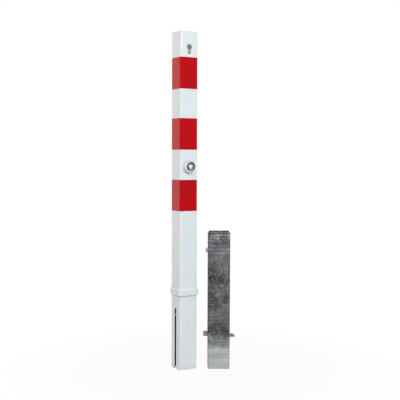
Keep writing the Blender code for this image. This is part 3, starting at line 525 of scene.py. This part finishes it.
def jaw_bar_highlight(tree, place):
    """1 on the slots' cut edges beside the hooks' jaws, where a light bar is painted as a highlight."""
    axes = axes_of(tree, place)
    deep = apart(tree, axes["Y"], POST_AXIS.y)
    near = span(tree, deep, SLOT_HALF + 2 * SEAT_GAP, SLOT_HALF + SEAT_GAP)
    low = span(tree, axes["Z"], JAW_TOP - PAD_HEIGHT - SEAT_GAP, JAW_TOP - PAD_HEIGHT)
    high = span(tree, axes["Z"], JAW_TOP + SEAT_GAP, JAW_TOP)
    return maths(tree, "MULTIPLY", low, high, near)


def tube_marks(tree, shader, place, colour):
    """What the tube's coat has besides: painted shade under the collar, on the slot rims and on the bare inside,
    and painted highlights beside the jaws.
    """
    height = axes_of(tree, place)["Z"]
    # painted shade under the collar
    below = span(tree, height, collar_low.z - COLLAR_SHADE_REACH, collar_low.z - SEAT_GAP)
    above = span(tree, height, collar_low.z + SEAT_GAP, collar_low.z)
    patches = span(tree, clouds(tree, place, COLLAR_SHADE_PATCHES), *NOISE_CUT, *COLLAR_SHADE_STRENGTH)
    colour = blend(tree, maths(tree, "MULTIPLY", below, above, patches), colour, COLLAR_SHADE)
    # painted shade along the slot rims
    colour = blend(tree, slot_shade(tree, place), colour, SLOT_SHADE)
    # the bare inside is painted near-black as shade, and its reflection is dimmed as painted shade
    inside = inside_post(tree, place)
    # a painted highlight on the cut edges beside the jaws
    bare_shade_and_highlight = blend(tree, jaw_bar_highlight(tree, place), SHADED_BARE_STEEL, HIGHLIGHT_STEEL)
    dress(tree, shader, Specular_Tint=blend(tree, inside, WHITE, SHADE_MIRROR_TINT))
    return blend(tree, inside, colour, bare_shade_and_highlight)


def white_coat(name, on_tube=False):
    """Half-gloss white powder coat: orange peel, faint clouds, scuffs on the insert end, a dirty foot."""
    material, tree, shader = new_look(name)
    place = place_of(tree)
    height = axes_of(tree, place)["Z"]
    colour = blend(tree, span(tree, clouds(tree, place, COAT_CLOUDS), *NOISE_CUT), *COAT_TONES)
    insert = span(tree, height, collar_low.z, collar_low.z - SCUFF_REACH, smooth=True)
    scuffs = span(tree, clouds(tree, stretched(tree, place, COAT_SCUFFS), detail=FINE), *SCUFF_CUT)
    colour = blend(tree, maths(tree, "MULTIPLY", scuffs, insert, SCUFF_STRENGTH), colour, COAT_SCUFFED)
    foot = span(tree, height, FOOT_REACH, 0.0, smooth=True)
    patches = span(tree, clouds(tree, place, FOOT_DIRT), *DIRT_CUT, *DIRT_STRENGTH)
    colour = blend(tree, maths(tree, "MULTIPLY", foot, patches), colour, COAT_DIRTY)
    if on_tube:
        colour = tube_marks(tree, shader, place, colour)
    rough = span(tree, clouds(tree, place, COAT_SHEEN, FINE), *NOISE_CUT, *COAT_ROUGH)
    peel = relief(tree, clouds(tree, place, COAT_PEEL, SMOOTH), PEEL_DEPTH, soft_edges(tree, COAT_EDGE))
    dress(tree, shader, Base_Color=colour, Roughness=rough, Normal=peel)
    return material


def red_film():
    """Red reflective film: fine beads under a smooth face, a little darker along its cut edges."""
    material, tree, shader = new_look("red_film")
    place = place_of(tree)
    colour = blend(tree, span(tree, clouds(tree, place, FILM_CLOUDS, FINE), *NOISE_CUT), *FILM_TONES)
    beads = span(tree, clouds(tree, place, FILM_BEADS, ROUND), *BEAD_CUT, *BEAD_STRENGTH)
    colour = blend(tree, beads, colour, FILM_BEAD)
    cut = maths(tree, "MULTIPLY", edge_mask(tree, FILM_EDGE), FILM_CUT_STRENGTH)
    colour = blend(tree, cut, colour, FILM_CUT)
    rough = span(tree, clouds(tree, place, FILM_SHEEN), *NOISE_CUT, *FILM_ROUGH)
    waves = clouds(tree, place, FILM_WAVES, COARSE)
    skin = relief(tree, waves, FILM_WAVE_DEPTH, soft_edges(tree, FILM_EDGE))
    dress(tree, shader, Base_Color=colour, Roughness=rough, Normal=skin)
    dress(tree, shader, Specular_IOR_Level=FILM_MIRROR, Specular_Tint=FILM_TINT)
    return material


def zinc_zone(tree, place, pushed, zones):
    """The bath's zones along the height, with wavy borders: tone, mottling and streaks."""
    wave = span(tree, clouds(tree, pushed, ZINC_PUSH), 0.0, 1.0, -ZINC_WAVE, ZINC_WAVE)
    level = maths(tree, "DIVIDE", maths(tree, "ADD", axes_of(tree, place)["Z"], wave), ZONE_TOP)
    stops = [(height / ZONE_TOP, amounts) for height, *amounts in zones]
    marks = add(tree, "SeparateColor", Color=ramp(tree, level, stops)).outputs
    return marks["Red"], marks["Green"], marks["Blue"]


def zinc_mottling(tree, place, pushed, specks):
    """Blotches, specks and slanted runs, to either side of nothing."""
    blotches = clouds(tree, pushed, ZINC_BLOTCHES, FINE)
    slanted = add(tree, "Mapping", Vector=place, Rotation=FLOW_SLANT).outputs["Vector"]
    flow = clouds(tree, stretched(tree, slanted, ZINC_FLOW))
    layers = ((blotches, BLOTCH_WEIGHT), (specks, SPECK_WEIGHT), (flow, FLOW_WEIGHT))
    total = maths(tree, "ADD", *(maths(tree, "MULTIPLY", layer, weight) for layer, weight in layers))
    middle = sum(weight for _, weight in layers) / 2
    return maths(tree, "SUBTRACT", total, middle)


def zinc_streaks(tree, place):
    """Level streaks, paler or darker."""
    drawn = warped(tree, stretched(tree, place, ZINC_LINE_SHAPE), ZINC_LINE_PUSH, ZINC_PUSH_REACH)
    lines = clouds(tree, stretched(tree, drawn, ZINC_LINES), detail=COARSE)
    return span(tree, lines, *PATCH_CUT, *STREAK_STRENGTH)


def zinc_tints(tree, place, colour):
    """A colour with faint clouds of cold and warm, and of pink and green."""
    warm = clouds(tree, place, ZINC_WARM_CLOUDS, COARSE)
    green = clouds(tree, stretched(tree, place, ZINC_GREEN_SHAPE), ZINC_GREEN_CLOUDS, COARSE)
    for pattern, tints in ((warm, ZINC_COLD_WARM), (green, ZINC_PINK_GREEN)):
        tint = blend(tree, span(tree, pattern, *TINT_CUT), *tints)
        colour = blend(tree, 1.0, colour, tint, "MULTIPLY")
    return colour


def galvanised(name, zones, metal=ZINC_METAL, mirror=ZINC_MIRROR):
    """Hot-dip zinc: zones of the bath, mottled and streaked, with faint tints."""
    material, tree, shader = new_look(name)
    place = place_of(tree)
    pushed = warped(tree, place, ZINC_PUSH, ZINC_PUSH_REACH)
    specks = clouds(tree, stretched(tree, pushed, ZINC_SPECK_SHAPE), ZINC_SPECKS)
    plain, mottle, streak = zinc_zone(tree, place, pushed, zones)
    swing = maths(tree, "MULTIPLY", zinc_mottling(tree, place, pushed, specks), mottle)
    lines = maths(tree, "MULTIPLY", zinc_streaks(tree, place), streak)
    tone = maths(tree, "ADD", plain, swing, lines)
    colour = zinc_tints(tree, place, ramp(tree, tone, ZINC_TONES))
    rubbed = maths(tree, "MULTIPLY", edge_mask(tree, ZINC_RUB), ZINC_RUB_STRENGTH)
    colour = blend(tree, rubbed, colour, ZINC_RUBBED)
    rough = span(tree, tone, *ZINC_ROUGH_TONES, *ZINC_ROUGH)
    skin = relief(tree, specks, ZINC_DEPTH, soft_edges(tree, ZINC_EDGE))
    dress(tree, shader, Base_Color=colour, Roughness=rough, Normal=skin)
    dress(tree, shader, Metallic=metal, Specular_IOR_Level=mirror)
    return material


def plated(name, tones, roughness):
    """Plated or drawn metal: soft stains, a fine grain, bright worn edges."""
    material, tree, shader = new_look(name)
    place = place_of(tree)
    colour = blend(tree, span(tree, clouds(tree, place, METAL_STAINS, FINE), *STAIN_CUT), *tones)
    worn = maths(tree, "MULTIPLY", edge_mask(tree, METAL_RUB), METAL_RUB_STRENGTH)
    colour = blend(tree, worn, colour, tuple(min(1.0, METAL_RUB_GAIN * part) for part in tones[0]))
    grain = clouds(tree, place, METAL_GRAIN, COARSE)
    rough = span(tree, grain, *NOISE_CUT, *roughness)
    skin = relief(tree, grain, GRAIN_DEPTH, soft_edges(tree, METAL_EDGE))
    dress(tree, shader, Base_Color=colour, Roughness=rough, Normal=skin, Metallic=1.0)
    return material


def lathe_rings(tree, place):
    """Fine rings round the spindle's axis, left by the lathe."""
    axes = axes_of(tree, place)
    across = maths(tree, "SUBTRACT", axes["X"], SPINDLE.x)
    up = maths(tree, "SUBTRACT", axes["Z"], SPINDLE.z)
    along = maths(tree, "MULTIPLY", axes["Y"], LATHE_SLANT)
    path = maths(tree, "ADD", diagonal(tree, across, up), along)
    return clouds(tree, add(tree, "CombineXYZ", X=path).outputs["Vector"], LATHE_RINGS, COARSE)


def turned_metal(name, tones, roughness, metal=1.0):
    """Metal turned on a lathe about the spindle's axis: fine rings and stains."""
    material, tree, shader = new_look(name)
    place = place_of(tree)
    colour = blend(tree, span(tree, clouds(tree, place, LATHE_STAINS, FINE), *LATHE_STAIN_CUT), *tones)
    rings = lathe_rings(tree, place)
    rough = span(tree, rings, *NOISE_CUT, *roughness)
    skin = relief(tree, rings, GRAIN_DEPTH, soft_edges(tree, METAL_EDGE))
    dress(tree, shader, Base_Color=colour, Roughness=rough, Normal=skin, Metallic=metal)
    return material


def rosette_satin():
    """The ring round the stud: satin flank, with a painted highlight on the rim and painted shade under its lower
    side.
    """
    material, tree, shader = new_look("rosette_satin")
    place = place_of(tree)
    axes = axes_of(tree, place)
    stains = span(tree, clouds(tree, place, LATHE_STAINS, FINE), *LATHE_STAIN_CUT)
    colour = blend(tree, stains, *ROSETTE_TONES)
    # painted shade under the ring's lower side
    shade_top = SPINDLE.z - ROSETTE_SHADE_START * ROSETTE_RIM_RADIUS
    under = span(tree, axes["Z"], shade_top, SPINDLE.z - ROSETTE_RIM_RADIUS)
    under_shade = maths(tree, "MULTIPLY", under, span(tree, stains, 0.0, 1.0, *ROSETTE_SHADE_STRENGTH))
    colour = blend(tree, under_shade, colour, ROSETTE_UNDER_SHADE)
    # painted highlight on the rim
    rim = span(tree, axes["Y"], rosette_low.y + 2 * ROSETTE_EDGE, rosette_low.y + ROSETTE_EDGE)
    colour = blend(tree, rim, colour, ROSETTE_RIM_HIGHLIGHT)
    rings = lathe_rings(tree, place)
    rough = span(tree, rings, *NOISE_CUT, *ROSETTE_ROUGH)
    skin = relief(tree, rings, GRAIN_DEPTH, soft_edges(tree, METAL_EDGE))
    dress(tree, shader, Base_Color=colour, Roughness=rough, Normal=skin, Metallic=ROSETTE_METAL)
    return material


def stud_steel():
    """The triangle spindle: scratched bright steel at its front, darkened with painted shade down in the bore."""
    material, tree, shader = new_look("stud_steel")
    place = place_of(tree)
    depth = axes_of(tree, place)["Y"]
    # painted shade deepens down the bore
    deep = span(tree, depth, stud_low.y + STUD_SHADE_DEPTH, stud_low.y + 2 * STUD_SHADE_DEPTH, smooth=True)
    scratches = clouds(tree, stretched(tree, place, STUD_SCRATCHES))
    bright = blend(tree, span(tree, scratches, *SCRATCH_CUT), *STUD_TONES)
    shaded = blend(tree, clouds(tree, place, STUD_SHADE_CLOUDS), *STUD_BORE_SHADE)
    colour = blend(tree, deep, bright, shaded)
    rough = span(tree, scratches, *NOISE_CUT, *STUD_ROUGH)
    skin = relief(tree, scratches, SCRATCH_DEPTH, soft_edges(tree, STUD_EDGE))
    metal = span(tree, deep, 0.0, 1.0, *STUD_METAL)
    dress(tree, shader, Base_Color=colour, Roughness=rough, Normal=skin, Metallic=metal)
    return material


def lock_body():
    """The cylinder's housing: satin nickel on the lobe, darkened with painted shade round the turning core."""
    material, tree, shader = new_look("lock_body")
    place = place_of(tree)
    stains = span(tree, clouds(tree, place, LOCK_STAINS, FINE), *STAIN_CUT)
    satin = blend(tree, stains, *LOCK_TONES)
    shaded = blend(tree, stains, *LOCK_RING_SHADE)
    # painted shade on the housing above the lobe
    lobe_top = PLUG.z - LOCK_RING
    ring = span(tree, axes_of(tree, place)["Z"], lobe_top, lobe_top + LOCK_SHADE_FADE)
    colour = blend(tree, ring, satin, shaded)
    rough = span(tree, stains, 0.0, 1.0, *LOCK_ROUGH)
    skin = relief(tree, stains, GRAIN_DEPTH, soft_edges(tree, LOCK_EDGE))
    dress(tree, shader, Base_Color=colour, Roughness=rough, Normal=skin, Metallic=LOCK_METAL)
    return material


def hook_zinc():
    """The hooks: dull zinc, with a painted highlight on the jaw, which lies in shade inside the tube."""
    material, tree, shader = new_look("hook_zinc")
    place = place_of(tree)
    dull = span(tree, clouds(tree, place, HOOK_STAINS, FINE), *STAIN_CUT)
    colour = blend(tree, dull, *HOOK_TONES)
    height = axes_of(tree, place)["Z"]
    # a painted highlight on the jaw
    jaw_highlight = span(tree, height, hook_low.z + JAW_HIGHLIGHT_TOP, hook_low.z + JAW_HIGHLIGHT_FULL)
    colour = blend(tree, jaw_highlight, colour, HIGHLIGHT_STEEL)
    rough = span(tree, dull, 0.0, 1.0, *HOOK_ROUGH)
    skin = relief(tree, dull, SCRATCH_DEPTH, soft_edges(tree, LOCK_EDGE))
    dress(tree, shader, Base_Color=colour, Roughness=rough, Normal=skin, Metallic=HOOK_METAL)
    return material


LOOKS = {
    "white_coat": white_coat("white_coat"),
    "red_film": red_film(),
    "galvanised": galvanised("galvanised", SOCKET_ZONES),
    "lock_nickel": plated("lock_nickel", NICKEL_TONES, NICKEL_ROUGH),
    "zinc_steel": plated("zinc_steel", PLATE_TONES, PLATE_ROUGH),
    "bright_steel": turned_metal("bright_steel", BRIGHT_TONES, BRIGHT_ROUGH),
    "spring_steel": plated("spring_steel", SPRING_TONES, SPRING_ROUGH),
}
TUBE_COAT = white_coat("tube_coat", on_tube=True)
ANCHOR_ZINC = galvanised("anchor_zinc", BAR_ZONES)
FLAT_BAR_ZINC = galvanised("flat_bar_zinc", FLAT_BAR_ZONES, metal=0.0, mirror=0.0)
ROSETTE_SATIN = rosette_satin()
SHADED_BORE = turned_metal("shaded_bore", BORE_SHADE_TONES, BORE_ROUGH, BORE_METAL)
LOCK_BODY = lock_body()
HOOK_ZINC = hook_zinc()
STUD_STEEL = stud_steel()


def dress_solids():
    """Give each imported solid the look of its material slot, and some of them a look of their own."""
    for subpart in frame["record"]["subparts"]:
        solid = frame["nodes"][subpart["node"]]
        solid.data.materials.clear()
        solid.data.materials.append(LOOKS[subpart["material_slot"]])
    special = {
        "post_tube": TUBE_COAT,
        "triangle_spindle": STUD_STEEL,
        "lock_cylinder": LOCK_BODY,
        "cylinder_seat": LOOKS["spring_steel"],
        "hook_left": HOOK_ZINC,
        "hook_right": HOOK_ZINC,
        "anchor_left": ANCHOR_ZINC,
        "anchor_right": FLAT_BAR_ZINC,
        "cross_pin": ANCHOR_ZINC,
    }
    for name, look in special.items():
        frame["nodes"][name].data.materials[0] = look


def settle(piece, look, body):
    """Link a piece, give it its look, and let it ride on a body."""
    bpy.context.scene.collection.objects.link(piece)
    piece.data.materials.append(look)
    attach(piece, body)


def wire(name, points, radius, resolution, closed=False):
    """A round wire along points, as a curve."""
    curve = bpy.data.curves.new(name, "CURVE")
    curve.dimensions = "3D"
    curve.bevel_depth = radius
    curve.bevel_resolution = resolution
    curve.use_fill_caps = not closed
    spline = curve.splines.new("POLY")
    spline.points.add(len(points) - 1)
    spline.use_cyclic_u = closed
    for knot, point in zip(spline.points, points):
        knot.co = (*point, 1)
    return curve


def bead(name, points, radius, closed=False):
    """A weld bead along points, with ripples and a slightly uneven width."""
    curve = wire(name, points, radius, BEAD_RESOLUTION, closed)
    for index, (knot, point) in enumerate(zip(curve.splines[0].points, points)):
        ripple = WELD_RIPPLE if index % 2 else -WELD_RIPPLE
        knot.radius = 1.0 + ripple + WELD_UNEVEN * noise.noise(point * WELD_WAVES)
    return bpy.data.objects.new(name, curve)


def line_points(start, end):
    """Points on a line, one weld step apart."""
    count = max(2, round((end - start).length / WELD_STEP))
    return [start.lerp(end, step / count) for step in range(count + 1)]


def square_points(middle, side, corner, height):
    """Points round a square with round corners, one weld step apart."""
    reach = side / 2 - corner
    points = []
    for quarter in range(4):
        angle = quarter * math.pi / 2
        ahead = Vector((math.cos(angle), math.sin(angle), 0))
        aside = Vector((-ahead.y, ahead.x, 0))
        foot = Vector((middle.x, middle.y, height)) + ahead * (reach + corner)
        points += line_points(foot - aside * reach, foot + aside * reach)
        heart = Vector((middle.x, middle.y, height)) + (ahead + aside) * reach
        steps = max(2, round(corner * math.pi / 2 / WELD_STEP))
        for step in range(1, steps):
            bend = angle + step / steps * math.pi / 2
            points.append(heart + corner * Vector((math.cos(bend), math.sin(bend), 0)))
    return points


def spokes(aside, up, steps):
    """Directions round a circle in the plane of two directions."""
    turns = [2 * math.pi * step / steps for step in range(steps)]
    return [math.cos(turn) * aside + math.sin(turn) * up for turn in turns]


def circle_points(middle, radius, aside, up):
    """Points round a circle, one weld step apart."""
    steps = max(8, round(2 * math.pi * radius / WELD_STEP))
    return [middle + radius * spoke for spoke in spokes(aside, up, steps)]


def wall(shape, first, second):
    """Faces between two closed rings with as many corners."""
    for index in range(len(first)):
        after = (index + 1) % len(first)
        shape.faces.new((first[index], first[after], second[after], second[index]))


def mesh_of(name, shape):
    """A finished shape as a mesh, with its faces turned outward."""
    bmesh.ops.recalc_face_normals(shape, faces=shape.faces)
    mesh = bpy.data.meshes.new(name)
    shape.to_mesh(mesh)
    shape.free()
    return mesh


def lathe(name, middle, heading, profile, steps=LATHE_STEPS):
    """A (radius, distance along the heading) profile turned about a line through the middle."""
    heading = Vector(heading).normalized()
    aside = heading.orthogonal().normalized()
    directions = spokes(aside, heading.cross(aside), steps)
    shape = bmesh.new()
    rings = []
    for radius, distance in profile:
        hub = middle + heading * distance
        rings.append([shape.verts.new(hub + direction * radius) for direction in directions])
    for first, second in zip(rings, rings[1:]):
        wall(shape, first, second)
    bmesh.ops.remove_doubles(shape, verts=shape.verts, dist=MERGE_DISTANCE)
    mesh = mesh_of(name, shape)
    mesh.shade_smooth()
    mesh.set_sharp_from_angle(angle=SHARP_ANGLE)
    return bpy.data.objects.new(name, mesh)


def rounding(middle, radius, start, end, steps=6):
    """Points on a small arc of a profile, angles in degrees."""
    turns = [math.radians(start + (end - start) * step / steps) for step in range(steps + 1)]
    return [(middle[0] + radius * math.cos(turn), middle[1] + radius * math.sin(turn)) for turn in turns]


def make_rosette():
    """The conical ring round the triangle stud, with a rounded rim and a bore darkened as painted shade."""
    middle = Vector((SPINDLE.x, rosette_high.y, SPINDLE.z))
    front = (0, -1, 0)
    rim = rosette_high.y - rosette_low.y
    base = (rosette_high.x - rosette_low.x) / 2
    edge = ROSETTE_EDGE
    bore = ROSETTE_BORE_RADIUS
    lip = (bore, rim - ROSETTE_LIP * edge)
    foot_turn = 70  # degrees at which the foot's edge runs into the flank
    rim_turn = 20  # degrees at which the flank runs into the rim
    shell = [(base, 0), (base, ROSETTE_BASE - edge)]
    shell += rounding((base - edge, ROSETTE_BASE - edge), edge, 0, foot_turn)
    shell += rounding((ROSETTE_RIM_RADIUS - edge, rim - edge), edge, rim_turn, 90)
    shell += rounding((bore + edge, rim - edge), edge, 90, 180)
    shell.append(lip)
    ring = lathe("rosette_shell", middle, front, shell)
    settle(ring, ROSETTE_SATIN, "post")
    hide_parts("lock_rosette")
    # the bore's lining is darker than the ring as painted shade
    lining = lathe("rosette_bore", middle, front, [lip, (bore, edge), (PLATE_RADIUS, edge)])
    settle(lining, SHADED_BORE, "post")


def make_post_welds():
    """The bead on the collar, the seal under it, and the seam under the cap."""
    on_wall = POST_SIDE + 2 * SEAT_GAP
    rings = (
        ("collar_weld", on_wall, collar_high.z, COLLAR_BEAD),
        ("collar_seal", on_wall, collar_low.z + SEAL_BEAD / 2, SEAL_BEAD),
        ("cap_weld", on_wall - CAP_BEAD * CAP_BEAD_SUNK, cap_low.z - SEAT_GAP / 2, CAP_BEAD),
    )
    for name, side, height, radius in rings:
        points = square_points(POST_AXIS, side, POST_CORNER, height)
        settle(bead(name, points, radius, True), LOOKS["white_coat"], "post")


def make_pivot_fills():
    """The filled ends of the hooks' pivot, on both sides of the post."""
    reach = PIVOT_RADIUS + 2 * SEAT_GAP
    shoulder = (reach * PIVOT_SHOULDER, FILL_DOME * FILL_SHOULDER)
    dome = [(0, FILL_DOME), shoulder, (reach, 0), (reach, -SEAT_GAP)]
    for name, side in (("pivot_fill_left", -1), ("pivot_fill_right", 1)):
        middle = Vector((HOOK_PIVOT.x + side * POST_SIDE / 2, HOOK_PIVOT.y, HOOK_PIVOT.z))
        fill = lathe(name, middle, (side, 0, 0), dome, FILL_STEPS)
        settle(fill, LOOKS["white_coat"], "post")


def coil(name, middle, radius, low, high, first_turn, last_turn):
    """A length of the coil spring as a mesh."""
    steps = round((last_turn - first_turn) * SPRING_STEPS)
    points = []
    for step in range(steps + 1):
        share = step / steps
        angle = 2 * math.pi * (first_turn + (last_turn - first_turn) * share)
        place = middle + radius * Vector((math.cos(angle), math.sin(angle), 0))
        points.append((place.x, place.y, low + (high - low) * share))
    curve = wire(name, points, SPRING_WIRE, WIRE_RESOLUTION)
    drawn = bpy.data.objects.new(name + "_wire", curve)
    bpy.context.scene.collection.objects.link(drawn)
    solid = drawn.evaluated_get(bpy.context.evaluated_depsgraph_get())
    mesh = bpy.data.meshes.new_from_object(solid)
    bpy.data.objects.remove(drawn)
    bpy.data.curves.remove(curve)
    mesh.name = name
    mesh.shade_smooth()
    return bpy.data.objects.new(name, mesh)


def make_spring():
    """The hook spring in two lengths, one for each key; the upper rides on the post and the lower on the
    cylinder's pull.
    """
    low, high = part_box("hook_spring")
    middle = (low + high) / 2
    radius = (high.x - low.x) / 2 - SPRING_WIRE
    bottom = low.z + SPRING_WIRE
    top = high.z - SPRING_WIRE
    half = SPRING_TURNS / 2
    lengths = (
        ("hook_spring_upper", "post", "cylinder_rod_lift", middle.z, top, half),
        ("hook_spring_lower", "cylinder_pull", "triangle_rod_lift", bottom, middle.z, 0),
    )
    for name, body, joint, foot, head, first_turn in lengths:
        length = coil(name, middle, radius, foot, head, first_turn, first_turn + half)
        settle(length, LOOKS["spring_steel"], body)
        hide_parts("hook_spring")
        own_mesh(length)


def block(name, first, second):
    """A solid between two outlines with as many corners."""
    shape = bmesh.new()
    ends = [[shape.verts.new(point) for point in outline] for outline in (first, second)]
    for end in ends:
        shape.faces.new(end)
    wall(shape, *ends)
    return bpy.data.objects.new(name, mesh_of(name, shape))


def make_jaw_pads():
    """The pads on the outer sides of the hooks' jaws, painted with the jaw's highlight, which show as light bars
    across the slots.
    """
    outline = (
        (JAW_FRONT, JAW_TOP),
        (JAW_FRONT, JAW_TOP - JAW_TIP),
        (JAW_FRONT + PAD_HEIGHT - JAW_TIP, JAW_TOP - PAD_HEIGHT),
        (JAW_BACK - PAD_HEIGHT / 2, JAW_TOP - PAD_HEIGHT),
        (JAW_BACK, JAW_TOP),
    )
    sides = (("jaw_pad_left", hook_low.x, -1), ("jaw_pad_right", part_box("hook_right")[1].x, 1))
    for name, face, side in sides:
        ends = []
        for x in (face, face + side * PAD_THICKNESS):
            ends.append([Vector((x, HOOK_PIVOT.y + y, z)) for y, z in outline])
        settle(block(name, *ends), HOOK_ZINC, "hooks")


def make_film_laps():
    """The lap where each wrap of film ends on itself, at the back."""
    outline = (
        (-FILM_LAP_WIDTH / 2, 0.0),
        (FILM_LAP_WIDTH / 2, 0.0),
        (FILM_LAP_WIDTH / 2, FILM_LAP),
        (-FILM_LAP_WIDTH / 4, FILM_LAP),
    )
    for level in ("upper", "middle", "lower"):
        low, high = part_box("red_band_" + level)
        ends = []
        for height in (low.z, high.z):
            ends.append([Vector((POST_AXIS.x + x, high.y + y, height)) for x, y in outline])
        settle(block("film_lap_" + level, *ends), LOOKS["red_film"], "post")


def socket_point(along, out, height):
    """A place in the socket's own turned axes, from its middle on the ground."""
    cos = math.cos(SOCKET_TURN)
    sin = math.sin(SOCKET_TURN)
    return Vector((SOCKET_AXIS.x + along * cos - out * sin, SOCKET_AXIS.y + along * sin + out * cos, height))


def make_anchor_welds():
    """Beads where the anchors meet the socket."""
    face = SOCKET_SIDE / 2
    side = ANCHOR_THICKNESS / 2 + ANCHOR_BEAD_OUT
    half = RIGHT_ANCHOR_WIDTH / 2
    runs = {
        "left_weld_front": (socket_point(-face, -side, left_low.z), socket_point(-face, -side, left_high.z)),
        "left_weld_back": (socket_point(-face, side, left_low.z), socket_point(-face, side, left_high.z)),
        "right_weld_top": (socket_point(face, -half, right_high.z), socket_point(face, half, right_high.z)),
        "right_weld_bottom": (socket_point(face, -half, right_low.z), socket_point(face, half, right_low.z)),
    }
    for name, (start, end) in runs.items():
        look = FLAT_BAR_ZINC if name.startswith("right") else ANCHOR_ZINC
        settle(bead(name, line_points(start, end), ANCHOR_BEAD), look, "socket")


def make_pin_welds():
    """The bead round the cross pin's head, and its filled far end."""
    face = SOCKET_SIDE / 2
    pin_height = (pin_low.z + pin_high.z) / 2
    outward = socket_point(1, 0, 0) - socket_point(0, 0, 0)
    across = socket_point(0, 1, 0) - socket_point(0, 0, 0)
    up = Vector((0, 0, 1))
    ring = circle_points(socket_point(-face, 0, pin_height), PIN_HEAD_RADIUS, across, up)
    settle(bead("pin_weld", ring, PIN_BEAD, True), ANCHOR_ZINC, "socket")
    shoulder = (PIN_FILL_RADIUS * PIN_SHOULDER, FILL_DOME * FILL_SHOULDER)
    dome = [(0, FILL_DOME), shoulder, (PIN_FILL_RADIUS, -SEAT_GAP)]
    fill = lathe("pin_fill", socket_point(face, 0, pin_height), outward, dome, FILL_STEPS)
    settle(fill, LOOKS["galvanised"], "socket")


def make_socket_seam():
    """The weld seam inside the socket's tube."""
    inner = SOCKET_SIDE / 2 - SOCKET_WALL
    seam = line_points(socket_point(0, inner, SEAM_BEAD), socket_point(0, inner, socket_high.z - SEAM_BEAD))
    settle(bead("socket_seam", seam, SEAM_BEAD), LOOKS["galvanised"], "socket")


def seen_rays(tree):
    """1 for rays that show the background: straight, mirrored or through glass."""
    path = add(tree, "LightPath").outputs
    return maths(tree, "MAXIMUM", path["Is Camera Ray"], path["Is Glossy Ray"], path["Is Transmission Ray"])


def make_world():
    """White where it is seen, softer where it lights."""
    world = bpy.data.worlds.new("studio")
    bpy.context.scene.world = world
    world.use_nodes = True
    tree = world.node_tree
    background = tree.nodes["Background"]
    connect(tree, background.inputs["Color"], WHITE)
    connect(tree, background.inputs["Strength"], span(tree, seen_rays(tree), 0.0, 1.0, AMBIENT, 1.0))


def make_floor():
    """A pale floor that keeps the shadow and runs on into the white."""
    half = FLOOR_SIZE / 2
    corners = [(-half, -half, 0), (half, -half, 0), (half, half, 0), (-half, half, 0)]
    mesh = bpy.data.meshes.new("floor")
    mesh.from_pydata(corners, [], [(0, 1, 2, 3)])
    floor = bpy.data.objects.new("floor", mesh)
    bpy.context.scene.collection.objects.link(floor)
    material, tree, shader = new_look("floor")
    dress(tree, shader, Base_Color=FLOOR_COLOUR, Roughness=FLOOR_ROUGHNESS, Specular_IOR_Level=0.0)
    glow = add(tree, "Emission", Color=WHITE, Strength=1.0).outputs["Emission"]
    away = add(tree, "VectorMath", {"operation": "LENGTH"})
    connect(tree, away.inputs[0], place_of(tree))
    distance = away.outputs["Value"]
    spread = span(tree, distance, FLOOR_GLOW_START, FLOOR_GLOW_REACH, FLOOR_GLOW_NEAR, 1.0, smooth=True)
    both = add(tree, "MixShader", Fac=maths(tree, "MULTIPLY", seen_rays(tree), spread))
    tree.links.new(shader.outputs["BSDF"], both.inputs[1])
    tree.links.new(glow, both.inputs[2])
    tree.links.new(both.outputs["Shader"], tree.nodes["Material Output"].inputs["Surface"])
    floor.data.materials.append(material)


def make_lights():
    """A high soft box and a thin upright one at the left, a cool one in front, and two behind."""
    target = Vector((POST_AXIS.x, POST_AXIS.y, LAMP_AIM))
    for name, place, size, power, colour in LAMPS:
        lamp = bpy.data.lights.new(name, "AREA")
        lamp.shape = "RECTANGLE"
        lamp.size, lamp.size_y = size
        lamp.energy = power
        lamp.color = colour
        holder = bpy.data.objects.new(name, lamp)
        holder.location = place
        holder.rotation_euler = (target - Vector(place)).to_track_quat("-Z", "Y").to_euler()
        bpy.context.scene.collection.objects.link(holder)


def make_camera():
    """The photograph's camera."""
    lens = bpy.data.cameras.new("camera")
    lens.sensor_width = SENSOR_WIDTH
    lens.lens = SENSOR_WIDTH * FOCAL_PIXELS / PHOTO_WIDTH
    camera = bpy.data.objects.new("camera", lens)
    camera.location = Vector((POST_AXIS.x, POST_AXIS.y, 0)) + CAMERA_FROM_POST
    camera.rotation_euler = (math.pi / 2 - CAMERA_TILT, CAMERA_ROLL, CAMERA_AZIMUTH)
    bpy.context.scene.collection.objects.link(camera)
    bpy.context.scene.camera = camera


dress_solids()
make_rosette()
make_post_welds()
make_pivot_fills()
make_spring()
make_jaw_pads()
make_film_laps()
make_anchor_welds()
make_pin_welds()
make_socket_seam()
make_world()
make_floor()
make_lights()
make_camera()
bpy.context.scene.view_settings.view_transform = "Standard"
